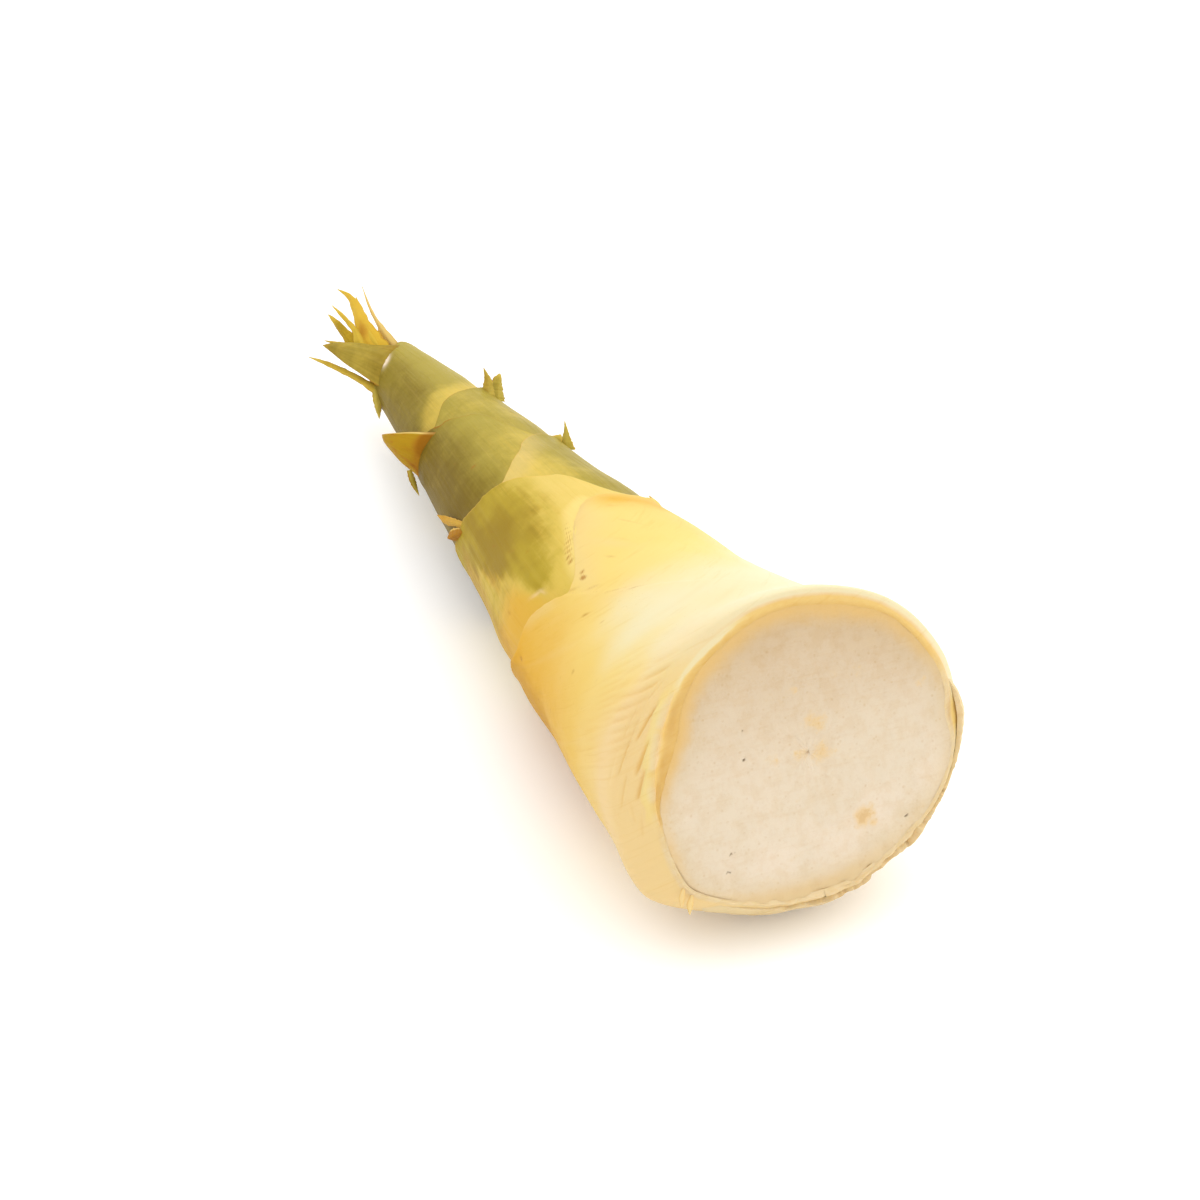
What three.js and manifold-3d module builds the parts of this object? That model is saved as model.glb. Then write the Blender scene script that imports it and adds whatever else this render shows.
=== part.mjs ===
// Bamboo shoot, cut across at the base and lying on its side.
//
// Millimetres, +Z up. +X runs from the cut base to the tip, z = 0 is the surface it lies on, and the
// origin is at the middle of the footprint. A solid tapering culm carries six overlapping sheaths. Each
// sheath is one closed wrap that starts at its own node, slips under the one before it and ends in an
// oblique margin, high on one side and low on the other. The high sides alternate left and right.

import * as THREE from "three";
import { ParametricGeometry } from "three/addons/geometries/ParametricGeometry.js";
import { mergeVertices } from "three/addons/utils/BufferGeometryUtils.js";
import Module from "manifold-3d";

// ---- Driving dimensions (mm, angles in degrees) ---------------------------------------------------

// Sections of the whole shoot. "reach" is the distance from the cut's centre along +X, y and z are the
// section's centre, "lean" is how far its top tips toward the tip of the shoot per mm of height.
const SECTIONS = [
  { reach: 0, y: 0, z: 49, halfWidth: 41, halfHeight: 36.2, lean: 0.33 },
  { reach: 4, y: 0.7, z: 46.8, halfWidth: 44.8, halfHeight: 40.2, lean: 0.22 },
  { reach: 9, y: 1.2, z: 44, halfWidth: 46.3, halfHeight: 41.8, lean: 0.17 },
  { reach: 21, y: 2.1, z: 39.6, halfWidth: 43.7, halfHeight: 39, lean: 0.16 },
  { reach: 37, y: 2.7, z: 36, halfWidth: 41.2, halfHeight: 36.9, lean: 0.18 },
  { reach: 75, y: 3.1, z: 30.6, halfWidth: 35.2, halfHeight: 32.3, lean: 0.1 },
  { reach: 97, y: 3, z: 28.7, halfWidth: 33.2, halfHeight: 30.7, lean: 0.07 },
  { reach: 144, y: 2.6, z: 25.8, halfWidth: 26, halfHeight: 24.7, lean: 0.05 },
  { reach: 194, y: 1.9, z: 23.4, halfWidth: 19.8, halfHeight: 19.1, lean: 0.05 },
  { reach: 242, y: 1.4, z: 20.6, halfWidth: 13.5, halfHeight: 13.2, lean: 0.07 },
  { reach: 282, y: 1.2, z: 17.1, halfWidth: 9.3, halfHeight: 9.2, lean: 0.1 },
];

// How far the foot spreads past those sections beside the cut, as [angle, mm] round the shoot.
const FLARE = [[-175, 0], [100, 0], [108, 0.6], [115, 1.7], [122, 3], [128, 3.9], [134, 3.6], [143, 3],
  [152, 1.8], [165, 1.4], [175, 0.7]];
const FLARE_FULL = 6; // reach up to which it is full
const FLARE_RUN = 26; // length over which it goes

// Sheaths from the outermost inward. "node" is the reach where the wrap starts. A margin lists
// [angle, reach] round the shoot, the angle measured from straight up toward +Y.
const SHEATHS = [
  {
    node: 0, base: 2, edge: 0.9, colour: 0xefd58c,
    margin: [[-135, 138], [-45, 125], [-8, 115], [17, 100], [34, 88], [50, 83], [94, 97], [150, 118]],
  },
  {
    node: 58, base: 1.3, edge: 0.7, colour: 0xd3b557,
    margin: [[-140, 128], [-90, 119], [-45, 120], [-15, 128], [-2, 141], [16, 148], [44, 155],
      [72, 160], [106, 168], [150, 152]],
  },
  {
    node: 100, base: 1.3, edge: 0.7, colour: 0xbfae55,
    margin: [[-160, 168], [-110, 180], [-60, 184], [-14, 176], [-1, 171], [13, 163], [24, 157],
      [44, 150], [90, 146], [140, 152]],
  },
  {
    node: 130, base: 1.2, edge: 0.6, colour: 0x8f8f47,
    margin: [[-150, 182], [-90, 172], [-30, 174], [-6, 185], [1, 194], [9, 199], [32, 205],
      [48, 209], [100, 214], [150, 204]],
  },
  {
    node: 158, base: 1.2, edge: 0.6, colour: 0x96914b,
    margin: [[-120, 222], [-60, 229], [-24, 223], [1, 220], [21, 217], [38, 211], [60, 206],
      [110, 203], [160, 207]],
  },
  {
    node: 188, base: 1.1, edge: 0.6, colour: 0x86894a,
    margin: [[-100, 270], [-40, 275], [-11, 276], [21, 270], [53, 266], [80, 264], [180, 264]],
  },
];

const GAP = 0.55; // clear space between neighbouring layers
const EDGE_RUN = 20; // length over which a wall thins toward its margin
const SETTLE_RUN = 16; // length past a margin over which the next layer comes out to full size
const SHOULDER = 0.4; // clear space along the shoot between a sheath's foot and its node

// A torn remnant of a lower sheath, wrapped round the underside and -Y side of the cut end.
const COLLAR = { from: 140, to: 275, length: 13, thickness: 1.4, colour: 0xe0b878 };

// The middle of the footprint, which is the part's origin.
const ORIGIN = { reach: 148.8, y: 1.3 };

const CULM_END = 266; // reach of the end of the solid culm
const CULM_TIP_ROUNDING = 4;
const CULM_ROW = 12; // longest stretch between two rows of the culm, about
const CULM_COLOUR = 0xeee0c6;

// Blades that grow from a sheath's margin: a margin stretch [angle, reach] to [angle, reach] drawn out
// to a tip. They are part of that sheath.
const BLADES = [
  { sheath: 2, from: [74, 158], to: [116, 163], tip: [176.5, 26.5, 24.5], thickness: 0.9 },
  { sheath: 3, from: [-64, 180], to: [-36, 178], tip: [187, -18, 41], thickness: 0.8 },
  { sheath: 4, from: [46, 205], to: [106, 210], tip: [226, 24.5, 26], thickness: 1 },
  { sheath: 5, from: [-52, 223], to: [-34, 222], tip: [230, -10, 39.5], thickness: 0.8 },
  { sheath: 5, from: [-68, 222], to: [-46, 220], tip: [224, -14.5, 37], thickness: 0.8 },
  { sheath: 6, from: [-4, 272], to: [84, 260], tip: [285, 22, 27], thickness: 0.9 },
  { sheath: 6, from: [94, 259], to: [120, 261], tip: [256, 16, 14.5], thickness: 0.8 },
];

// Free leaves at the tip, each a narrow strip through three points.
const LEAF_COLOUR = 0xc79f3d;
const LEAVES = [
  { name: "tip_leaf_1", path: [[271, 4.4, 20], [291, 9.6, 32], [309, 8.3, 33]], width: 4.2 },
  { name: "tip_leaf_2", path: [[271, 0.8, 22.5], [289, 5.6, 31.2], [305, 3.4, 31.4]], width: 2 },
  { name: "tip_leaf_3", path: [[271, -2.6, 20.5], [287, 0.6, 30.4], [306, 0.4, 33.8]], width: 2.4 },
  { name: "tip_leaf_4", path: [[271, 6, 17], [290, 13.6, 28], [303, 12.2, 30.6]], width: 2 },
  { name: "tip_leaf_5", path: [[271, 4, 13], [287, 16, 24.5], [300, 15, 28.2]], width: 3.4 },
  { name: "tip_leaf_6", path: [[271, 0, 16.5], [284, 4, 24], [295, 3.4, 27.6]], width: 4.4 },
  { name: "side_blade", path: [[264.5, 13.6, 20.4], [276, 20, 24.5], [288, 26, 22.3]], width: 2.2 },
];
const LEAF_THICKNESS = 0.7;

// Mesh fineness: corners round the shoot, rows along a wall, and the reaches of the extra rows that
// follow the swelling behind the cut.
const AROUND = 36;
const WALL_STEPS = 7;
const SWELLING_ROWS = [0, 4, 9, 21, 37];

// ---- Helpers --------------------------------------------------------------------------------------

const radians = THREE.MathUtils.degToRad;

// Cubic through rows of numbers, given as [position, value] in rising position.
function cubic(rows, at) {
  const last = rows.length - 1;
  const x = THREE.MathUtils.clamp(at, rows[0][0], rows[last][0]);
  let i = 0;
  while (i < last - 1 && x > rows[i + 1][0]) i += 1;
  const slope = (k) => {
    const a = rows[Math.max(k - 1, 0)];
    const b = rows[Math.min(k + 1, last)];
    return (b[1] - a[1]) / (b[0] - a[0]);
  };
  const span = rows[i + 1][0] - rows[i][0];
  const t = (x - rows[i][0]) / span;
  const rise = rows[i + 1][1] - rows[i][1];
  const m0 = slope(i) * span;
  const m1 = slope(i + 1) * span;
  return rows[i][1] + m0 * t + (3 * rise - 2 * m0 - m1) * t * t + (m0 + m1 - 2 * rise) * t * t * t;
}

// The same for a ring of [angle, value] points, repeated past both ends so that it closes smoothly.
function ringCubic(points, angle) {
  const turn = (rows, by) => rows.map(([a, v]) => [a + by, v]);
  const rows = [...turn(points, -360), ...points, ...turn(points, 360)];
  return cubic(rows, THREE.MathUtils.euclideanModulo(angle + 180, 360) - 180);
}

const fade = (t) => 1 - THREE.MathUtils.smoothstep(t, 0, 1);

function section(reach) {
  const column = (key) => cubic(SECTIONS.map((row) => [row.reach, row[key]]), reach);
  return {
    y: column("y"),
    z: column("z"),
    halfWidth: column("halfWidth"),
    halfHeight: column("halfHeight"),
    lean: column("lean"),
  };
}

// A point of the shoot's skin, "inset" mm under its outer surface. The underside is flattened where the
// shoot lies on it.
function skin(reach, angle, inset) {
  const s = section(reach);
  const outward = ringCubic(FLARE, angle) * fade((reach - FLARE_FULL) / FLARE_RUN) - inset;
  const up = (s.halfHeight + outward) * Math.cos(radians(angle));
  const side = (s.halfWidth + outward) * Math.sin(radians(angle));
  return new THREE.Vector3(reach + s.lean * up, s.y + side, Math.max(s.z + up, inset));
}

const marginReach = (sheath, angle) => ringCubic(sheath.margin, angle);

// Wall thickness of a sheath "below" mm under its margin.
function wall(sheath, below) {
  return THREE.MathUtils.lerp(sheath.base, sheath.edge, fade(below / EDGE_RUN));
}

// Depth that one layer takes from those under it: its full wall where it covers them, and past its
// margin a step that fades as the next layer comes out.
function cover(sheath, reach, angle) {
  const below = marginReach(sheath, angle) - reach;
  if (below >= 0) return wall(sheath, below) + GAP;
  return (sheath.edge + GAP) * fade(-below / SETTLE_RUN);
}

function collarCover(reach, angle) {
  const around = THREE.MathUtils.euclideanModulo(angle, 360);
  const middle = (COLLAR.from + COLLAR.to) / 2;
  const half = (COLLAR.to - COLLAR.from) / 2;
  const beside = fade((Math.abs(around - middle) - half) / 20);
  return (COLLAR.thickness + GAP) * beside * fade((reach - COLLAR.length) / SETTLE_RUN);
}

// Depth of sheath number "layer" (0 is the outermost) under the shoot's outer surface.
function depth(layer, reach, angle) {
  return SHEATHS.slice(0, layer).reduce((sum, sheath) => sum + cover(sheath, reach, angle),
    collarCover(reach, angle));
}

// A closed surface from a function of two parameters that meets itself at its ends.
function closedSurface(point, slices, stacks) {
  const raw = new ParametricGeometry((u, v, target) => target.copy(point(u, v)), slices, stacks);
  raw.deleteAttribute("normal");
  raw.deleteAttribute("uv");
  return tidy(mergeVertices(raw, 1e-3));
}

// Drops triangles that have closed up, and turns the faces out.
function tidy(geometry) {
  const position = geometry.attributes.position;
  const corners = geometry.index.array;
  const kept = [];
  let volume = 0;
  const corner = (k) => new THREE.Vector3().fromBufferAttribute(position, k);
  for (let i = 0; i < corners.length; i += 3) {
    const [a, b, c] = [corners[i], corners[i + 1], corners[i + 2]];
    if (a === b || b === c || c === a) continue;
    kept.push([a, b, c]);
    volume += corner(a).dot(corner(b).cross(corner(c)));
  }
  const facing = volume > 0 ? kept : kept.map(([a, b, c]) => [a, c, b]);
  geometry.setIndex(facing.flat());
  return geometry;
}

// A thin closed sheet about the middle surface given by across, along in 0..1. It thins to nothing at
// its edges; "bluntness" under 1 keeps it thick close to them.
function sheet(middle, thickness, across, along, bluntness) {
  const step = 1e-3;
  const point = (u, v) => {
    const side = u <= 0.5 ? 1 : -1;
    const a = u <= 0.5 ? 2 * u : 2 - 2 * u;
    const here = middle(a, v);
    const da = middle(Math.min(a + step, 1), v).sub(middle(Math.max(a - step, 0), v));
    const db = middle(a, Math.min(v + step, 1)).sub(middle(a, Math.max(v - step, 0)));
    const normal = da.cross(db).normalize();
    const full = (4 * a * (1 - a)) ** bluntness * Math.min(1, 6 * v * (1 - v)) ** bluntness;
    return here.addScaledVector(normal, side * full * thickness / 2);
  };
  return closedSurface(point, 2 * across, along);
}

const wasm = await Module();
wasm.setup();

function toSolid(geometry) {
  return new wasm.Manifold(new wasm.Mesh({
    numProp: 3,
    vertProperties: new Float32Array(geometry.attributes.position.array),
    triVerts: new Uint32Array(geometry.index.array),
  }));
}

function toGeometry(solid) {
  const mesh = solid.getMesh();
  const geometry = new THREE.BufferGeometry();
  geometry.setAttribute("position", new THREE.BufferAttribute(mesh.vertProperties, 3));
  geometry.setIndex(new THREE.BufferAttribute(mesh.triVerts, 1));
  return geometry;
}

const shoot = new THREE.Group();

function addPiece(name, geometry, colour, roughness) {
  geometry.computeVertexNormals();
  const material = new THREE.MeshStandardMaterial({ color: colour, roughness, metalness: 0 });
  const mesh = new THREE.Mesh(geometry, material);
  mesh.name = name;
  shoot.add(mesh);
}

// ---- Culm: solid, cut flat at the base, with a shoulder at every node ------------------------------

// Rows of the culm as [reach, number of sheaths over it]. Two rows at one reach make a shoulder.
function culmRows() {
  const rows = SWELLING_ROWS.map((reach) => [reach, 1]);
  SHEATHS.forEach((sheath, layer) => {
    if (layer > 0) rows.push([sheath.node - SHOULDER, layer], [sheath.node - SHOULDER, layer + 1]);
    const next = SHEATHS[layer + 1]?.node ?? CULM_END;
    const from = Math.max(sheath.node, SWELLING_ROWS.at(-1));
    const between = Math.floor((next - from) / CULM_ROW);
    for (let i = 1; i <= between; i += 1) {
      rows.push([THREE.MathUtils.lerp(from, next, i / (between + 1)), layer + 1]);
    }
  });
  rows.push([CULM_END, SHEATHS.length]);
  return rows;
}

function culm() {
  const rows = culmRows();
  const point = (u, v) => {
    const row = Math.round(v * (rows.length + 2));
    if (row === 0) return centre(0);
    if (row > rows.length + 1) return centre(CULM_END + CULM_TIP_ROUNDING / 2);
    const angle = 360 * u - 180;
    const [reach, layers] = rows[Math.min(row, rows.length) - 1];
    const rounding = row > rows.length ? CULM_TIP_ROUNDING : 0;
    return skin(reach + rounding / 2, angle, depth(layers, reach, angle) + rounding);
  };
  addPiece("culm", closedSurface(point, AROUND, rows.length + 2), CULM_COLOUR, 0.75);
}

function centre(reach) {
  const s = section(reach);
  return new THREE.Vector3(reach, s.y, s.z);
}

// ---- Sheaths ---------------------------------------------------------------------------------------

// Closed wrap: out along the outer surface to the margin, and back along the inner one.
function wrap(sheath, layer) {
  const fixed = sheath.node === 0 ? SWELLING_ROWS.slice(0, -1) : [];
  const start = sheath.node === 0 ? SWELLING_ROWS.at(-1) : sheath.node;
  const rows = fixed.length + WALL_STEPS + 1;
  const point = (u, v) => {
    const angle = 360 * u - 180;
    const row = Math.round(v * 2 * rows) % (2 * rows);
    const outside = row < rows;
    const step = outside ? row : 2 * rows - 1 - row;
    const top = marginReach(sheath, angle);
    const fraction = (step - fixed.length) / WALL_STEPS;
    const reach = fixed[step] ?? THREE.MathUtils.lerp(start, top, fraction);
    const inset = depth(layer, reach, angle) + (outside ? 0 : wall(sheath, top - reach));
    return skin(reach, angle, inset);
  };
  return closedSurface(point, AROUND, 2 * rows);
}

// Blade drawn out from a stretch of the margin, rooted in the middle of the wall.
function blade(spec) {
  const layer = spec.sheath - 1;
  const sheath = SHEATHS[layer];
  const tip = new THREE.Vector3(...spec.tip);
  const middle = (a, b) => {
    const angle = THREE.MathUtils.lerp(spec.from[0], spec.to[0], a);
    const reach = THREE.MathUtils.lerp(spec.from[1], spec.to[1], a);
    const root = skin(reach, angle, depth(layer, reach, angle) + sheath.edge / 2);
    return root.lerp(tip, b);
  };
  return sheet(middle, spec.thickness, 6, 5, 0.4);
}

function sheaths() {
  SHEATHS.forEach((sheath, layer) => {
    const grown = BLADES.filter((spec) => spec.sheath === layer + 1);
    const solid = grown.reduce((body, spec) => body.add(toSolid(blade(spec))),
      toSolid(wrap(sheath, layer)));
    addPiece(`sheath_${layer + 1}`, toGeometry(solid), sheath.colour, 0.55);
  });
}

// ---- Torn collar at the cut end ---------------------------------------------------------------------

function collar() {
  const middle = (a, b) => {
    const angle = THREE.MathUtils.lerp(COLLAR.from, COLLAR.to, b);
    return skin(0.5 + a * COLLAR.length, angle, COLLAR.thickness / 2);
  };
  addPiece("base_collar", sheet(middle, COLLAR.thickness, 4, 14, 0.3), COLLAR.colour, 0.7);
}

// ---- Free leaves ------------------------------------------------------------------------------------

function leaf(spec) {
  const path = new THREE.QuadraticBezierCurve3(...spec.path.map((p) => new THREE.Vector3(...p)));
  const middle = (a, b) => {
    const along = path.getTangent(b);
    const across = new THREE.Vector3(0, 0, 1).cross(along).normalize();
    return path.getPoint(b).addScaledVector(across, (a - 0.5) * spec.width * (1 - b ** 1.5));
  };
  addPiece(spec.name, sheet(middle, LEAF_THICKNESS, 3, 8, 0.5), LEAF_COLOUR, 0.6);
}

// ---- Assembly ---------------------------------------------------------------------------------------

culm();
collar();
sheaths();
LEAVES.forEach(leaf);

for (const mesh of shoot.children) {
  mesh.geometry.translate(-ORIGIN.reach, -ORIGIN.y, 0);
}

export default shoot;
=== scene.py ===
"""Bamboo shoot, cut at the base and lying on its side: its finished pieces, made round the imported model.

Every piece is a grid wrapped on the shoot's skin. A place on the skin is a reach, in millimetres along the
shoot from the middle of the cut, and an angle, in degrees from straight up toward +Y.
"""

import math

import bpy
import numpy as np
from mathutils import Matrix, Vector


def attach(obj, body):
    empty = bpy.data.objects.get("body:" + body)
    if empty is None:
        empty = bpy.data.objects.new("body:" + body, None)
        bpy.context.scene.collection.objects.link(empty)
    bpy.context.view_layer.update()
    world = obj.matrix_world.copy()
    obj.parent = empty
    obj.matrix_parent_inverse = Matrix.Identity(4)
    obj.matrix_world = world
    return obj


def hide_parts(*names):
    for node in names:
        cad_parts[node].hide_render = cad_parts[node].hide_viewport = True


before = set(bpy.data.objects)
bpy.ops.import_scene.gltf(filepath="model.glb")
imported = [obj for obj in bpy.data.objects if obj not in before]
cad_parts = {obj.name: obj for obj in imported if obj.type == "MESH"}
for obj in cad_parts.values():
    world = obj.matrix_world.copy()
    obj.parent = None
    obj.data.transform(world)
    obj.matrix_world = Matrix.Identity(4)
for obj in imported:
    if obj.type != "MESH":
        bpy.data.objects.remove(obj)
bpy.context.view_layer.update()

bl_info = {
    "name": "Bamboo shoot",
    "version": (1, 0, 0),
    "blender": (4, 5, 0),
    "location": "3D View > Sidebar > Shoot",
    "description": "Makes a cut bamboo shoot with its sheaths, blades and tip leaves",
    "category": "Object",
}

MM = 0.001

# ---- Shape of the shoot, in millimetres and degrees --------------------------------------------------

# Reach of a section, y and z of its middle, half width, half height, and how far its top leans toward
# the tip per millimetre of height.
SECTIONS = np.array((
    (0, 0, 49, 41, 36.2, 0.33),
    (4, 0.7, 46.8, 44.8, 40.2, 0.22),
    (9, 1.2, 44, 46.3, 41.8, 0.17),
    (21, 2.1, 39.6, 43.7, 39, 0.16),
    (37, 2.7, 36, 41.2, 36.9, 0.18),
    (75, 3.1, 30.6, 35.2, 32.3, 0.1),
    (97, 3, 28.7, 33.2, 30.7, 0.07),
    (144, 2.6, 25.8, 26, 24.7, 0.05),
    (194, 1.9, 23.4, 19.8, 19.1, 0.05),
    (242, 1.4, 20.6, 13.5, 13.2, 0.07),
    (282, 1.2, 17.1, 9.3, 9.2, 0.1),
), float)
MIDDLE_OF_FOOTPRINT = np.array((148.8, 1.3, 0))

# How far the foot spreads past those sections beside the cut, round the shoot.
FLARE = ((-180, 0), (100, 0), (108, 0.6), (115, 1.7), (122, 3), (128, 3.9), (134, 3.4), (143, 2),
         (152, 0.9), (165, 0.5), (175, 0))
FLARE_FULL = 6  # reach up to which it is full
FLARE_RUN = 26  # length over which it goes

# Sheaths from the outermost inward. "node" is the reach where it grows and "body" its thickness. Rings of
# (angle, value): "margin" is the reach where it ends, "lip" its thickness there and "lift" how far the lip
# stands off the layer below. "ragged" is the unevenness of its margin.
SHEATHS = (
    {
        "name": "sheath_1", "slot": "sheath_yellow", "node": 0, "body": 2.0,
        "margin": ((-135, 138), (-75, 131), (-49, 126), (-45, 129), (-41, 124.5), (-25, 123), (-5, 122.5),
                   (6, 119), (14, 113), (20, 107), (24.5, 100.5), (28, 94.5), (31.5, 89.5), (36, 84.5),
                   (40, 82), (44, 81), (50, 84.5), (57, 88), (65, 90), (75, 90.5), (85, 92.5),
                   (94, 97.5), (106, 102), (150, 118)),
        "lip": ((-150, 0.6), (-60, 0.5), (-30, 0.3), (0, 0.16), (26, 0.16), (38, 0.45), (60, 0.85),
                (95, 1.0), (140, 0.8)),
        "lift": ((-150, 0.2), (-55, 0.3), (-45, 1.2), (-35, 0.2), (-20, 0), (28, 0), (40, 0.15), (50, 0.3),
                 (75, 0.5), (94, 0.9), (110, 0.5), (150, 0.3)),
        "ragged": 0.35, "seed": 11, "columns": 384, "rows": 96,
    },
    {
        "name": "sheath_2", "slot": "sheath_olive", "node": 58, "body": 1.3,
        "margin": ((-140, 128), (-90, 119), (-45, 120), (-25, 122.5), (-15, 127), (-9, 132.5), (-2, 141),
                   (9, 145), (16, 148), (24, 151), (33, 153.5), (44, 155), (57, 156), (72, 160),
                   (90, 163), (106, 166), (150, 152)),
        "lip": ((-150, 0.45), (0, 0.4), (60, 0.4), (90, 0.5), (120, 0.5)),
        "lift": ((-150, 0.2), (-20, 0.15), (40, 0.05), (75, 0.15), (95, 0.5), (130, 0.3)),
        "ragged": 0.3, "seed": 12, "columns": 320, "rows": 90,
    },
    {
        "name": "sheath_3", "slot": "sheath_olive", "node": 100, "body": 1.2,
        "margin": ((-160, 168), (-110, 180), (-60, 184), (-30, 179), (-14, 176), (-1, 171), (6, 166),
                   (13, 162.5), (24, 157), (33, 153.5), (44, 150), (90, 146), (140, 152)),
        "lip": ((-150, 0.4), (0, 0.35), (30, 0.3), (90, 0.35)),
        "lift": ((-150, 0.2), (-40, 0.25), (0, 0.05), (40, 0.05), (120, 0.1)),
        "ragged": 0.25, "seed": 13, "columns": 280, "rows": 60,
    },
    {
        "name": "sheath_4", "slot": "sheath_green", "node": 130, "body": 1.1,
        "margin": ((-150, 182), (-90, 172), (-30, 174), (-6, 185), (1, 194), (9, 199.5), (21, 202),
                   (32, 205), (40, 206), (48, 209), (75, 213), (100, 214), (150, 204)),
        "lip": ((-150, 0.4), (0, 0.35), (40, 0.35), (60, 0.5), (100, 0.5), (130, 0.4)),
        "lift": ((-150, 0.2), (-20, 0.15), (20, 0.1), (45, 0.3), (75, 0.4), (110, 0.3)),
        "ragged": 0.25, "seed": 14, "columns": 250, "rows": 84,
    },
    {
        "name": "sheath_5", "slot": "sheath_green", "node": 158, "body": 1.1,
        "margin": ((-120, 222), (-70, 229), (-44, 228), (-24, 223), (1, 220), (21, 217), (38, 211.5),
                   (60, 206), (110, 203), (160, 207)),
        "lip": ((-150, 0.4), (-40, 0.5), (0, 0.35), (60, 0.3)),
        "lift": ((-150, 0.2), (-50, 0.5), (0, 0.1), (60, 0.05)),
        "ragged": 0.2, "seed": 15, "columns": 224, "rows": 62,
    },
    {
        "name": "sheath_6", "slot": "sheath_green", "node": 188, "body": 1.0,
        "margin": ((-100, 270), (-40, 275), (-11, 276), (21, 270), (53, 266), (80, 264), (180, 264)),
        "lip": ((-150, 0.4), (0, 0.35), (60, 0.5), (100, 0.4)),
        "lift": ((-150, 0.1), (0, 0.1), (50, 0.25), (90, 0.2)),
        "ragged": 0.2, "seed": 16, "columns": 200, "rows": 84,
    },
)
EDGE_RUN = 20  # length over which a wall thins toward its margin
SETTLE_RUN = 16  # length past a margin over which the next layer comes out to full size
LIFT_RUN = 5  # length of a lip that stands off
SHOULDER = 0.4  # length of the culm's shoulder below a node
FOOT_RUN = 12  # length over which the outermost sheath takes its thickness at the cut

# The wall of the outermost sheath at the cut, round the shoot.
CUT_WALL = ((-180, 1.6), (-110, 1.2), (-75, 1.6), (-40, 1.3), (-30, 1.8), (-16, 2.1), (0, 1.8),
            (20, 2.4), (32, 2.8), (46, 3.1), (56, 4.0), (64, 4.9), (70, 5.2), (76, 4.8), (82, 4.0),
            (90, 2.7), (97, 1.4), (105, 1.0), (128, 1.0), (145, 0.9), (165, 1.3))

# Width of the culm's tinted edge on the cut face.
TINT_WIDTH = ((-160, 3.4), (-115, 2.2), (-85, 2.0), (-60, 3.4), (-35, 4.4), (0, 4.2), (30, 4.4),
              (55, 3.6), (80, 3.2), (92, 3.2), (102, 2.4), (114, 2.6), (128, 1.8), (150, 2.8))
# How golden that edge is.
TINT_GOLD = ((-160, 0.3), (-115, 0.15), (-85, 0.15), (-60, 0.6), (-35, 0.9), (0, 0.9), (30, 0.9),
             (60, 1.0), (84, 0.9), (94, 0.6), (103, 0.35), (114, 0.55), (128, 0.25), (150, 0.45),
             (170, 0.6))

COLLAR = {"from": 140, "to": 275, "length": 13, "spread": 20}
# Its thickness along that stretch.
COLLAR_WALL = ((128, 0.3), (150, 0.5), (165, 1.0), (190, 1.5), (212, 2.2), (232, 1.9), (250, 1.3),
               (275, 1.1), (290, 0.8))

# The slit between the collar's flap and the outermost sheath, beside the cut.
SLIT = {"angle": -89.5, "half": 6.5, "flap": 8, "sink": 1.5, "run": 14, "lift": 0.5, "flap_wall": 1.4}

CULM_END = 266
CULM_TIP_ROUNDING = 4
CULM_ROW = 6  # length between the rows of its mesh

# Blades drawn out from a stretch of a margin to a tip: (angle, reach) at both ends of the stretch.
# "bow" pushes the blade's middle out and "cup" folds it along its length. The other values of blades,
# strips and leaves are how strong a mask is over them.
BLADES = (
    {"sheath": 4, "from": (46, 205), "to": (106, 210), "tip": (226, 24.5, 26), "thickness": 0.7,
     "bow": (0, 2.2, 0.8), "cup": 1.2, "young": 0.12, "deep": 1.15, "brown_and_shaded_hinge": 1.3, "brim": 0.85,
     "spots": 0.75},
    {"sheath": 6, "from": (-4, 272), "to": (74, 261), "tip": (285, 22, 27), "thickness": 0.7,
     "bow": (1, 1.8, 1.2), "cup": 1.8, "young": 0.68, "deep": 0.88, "brown_and_shaded_hinge": 0.4, "brim": 0.1},
)

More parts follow.
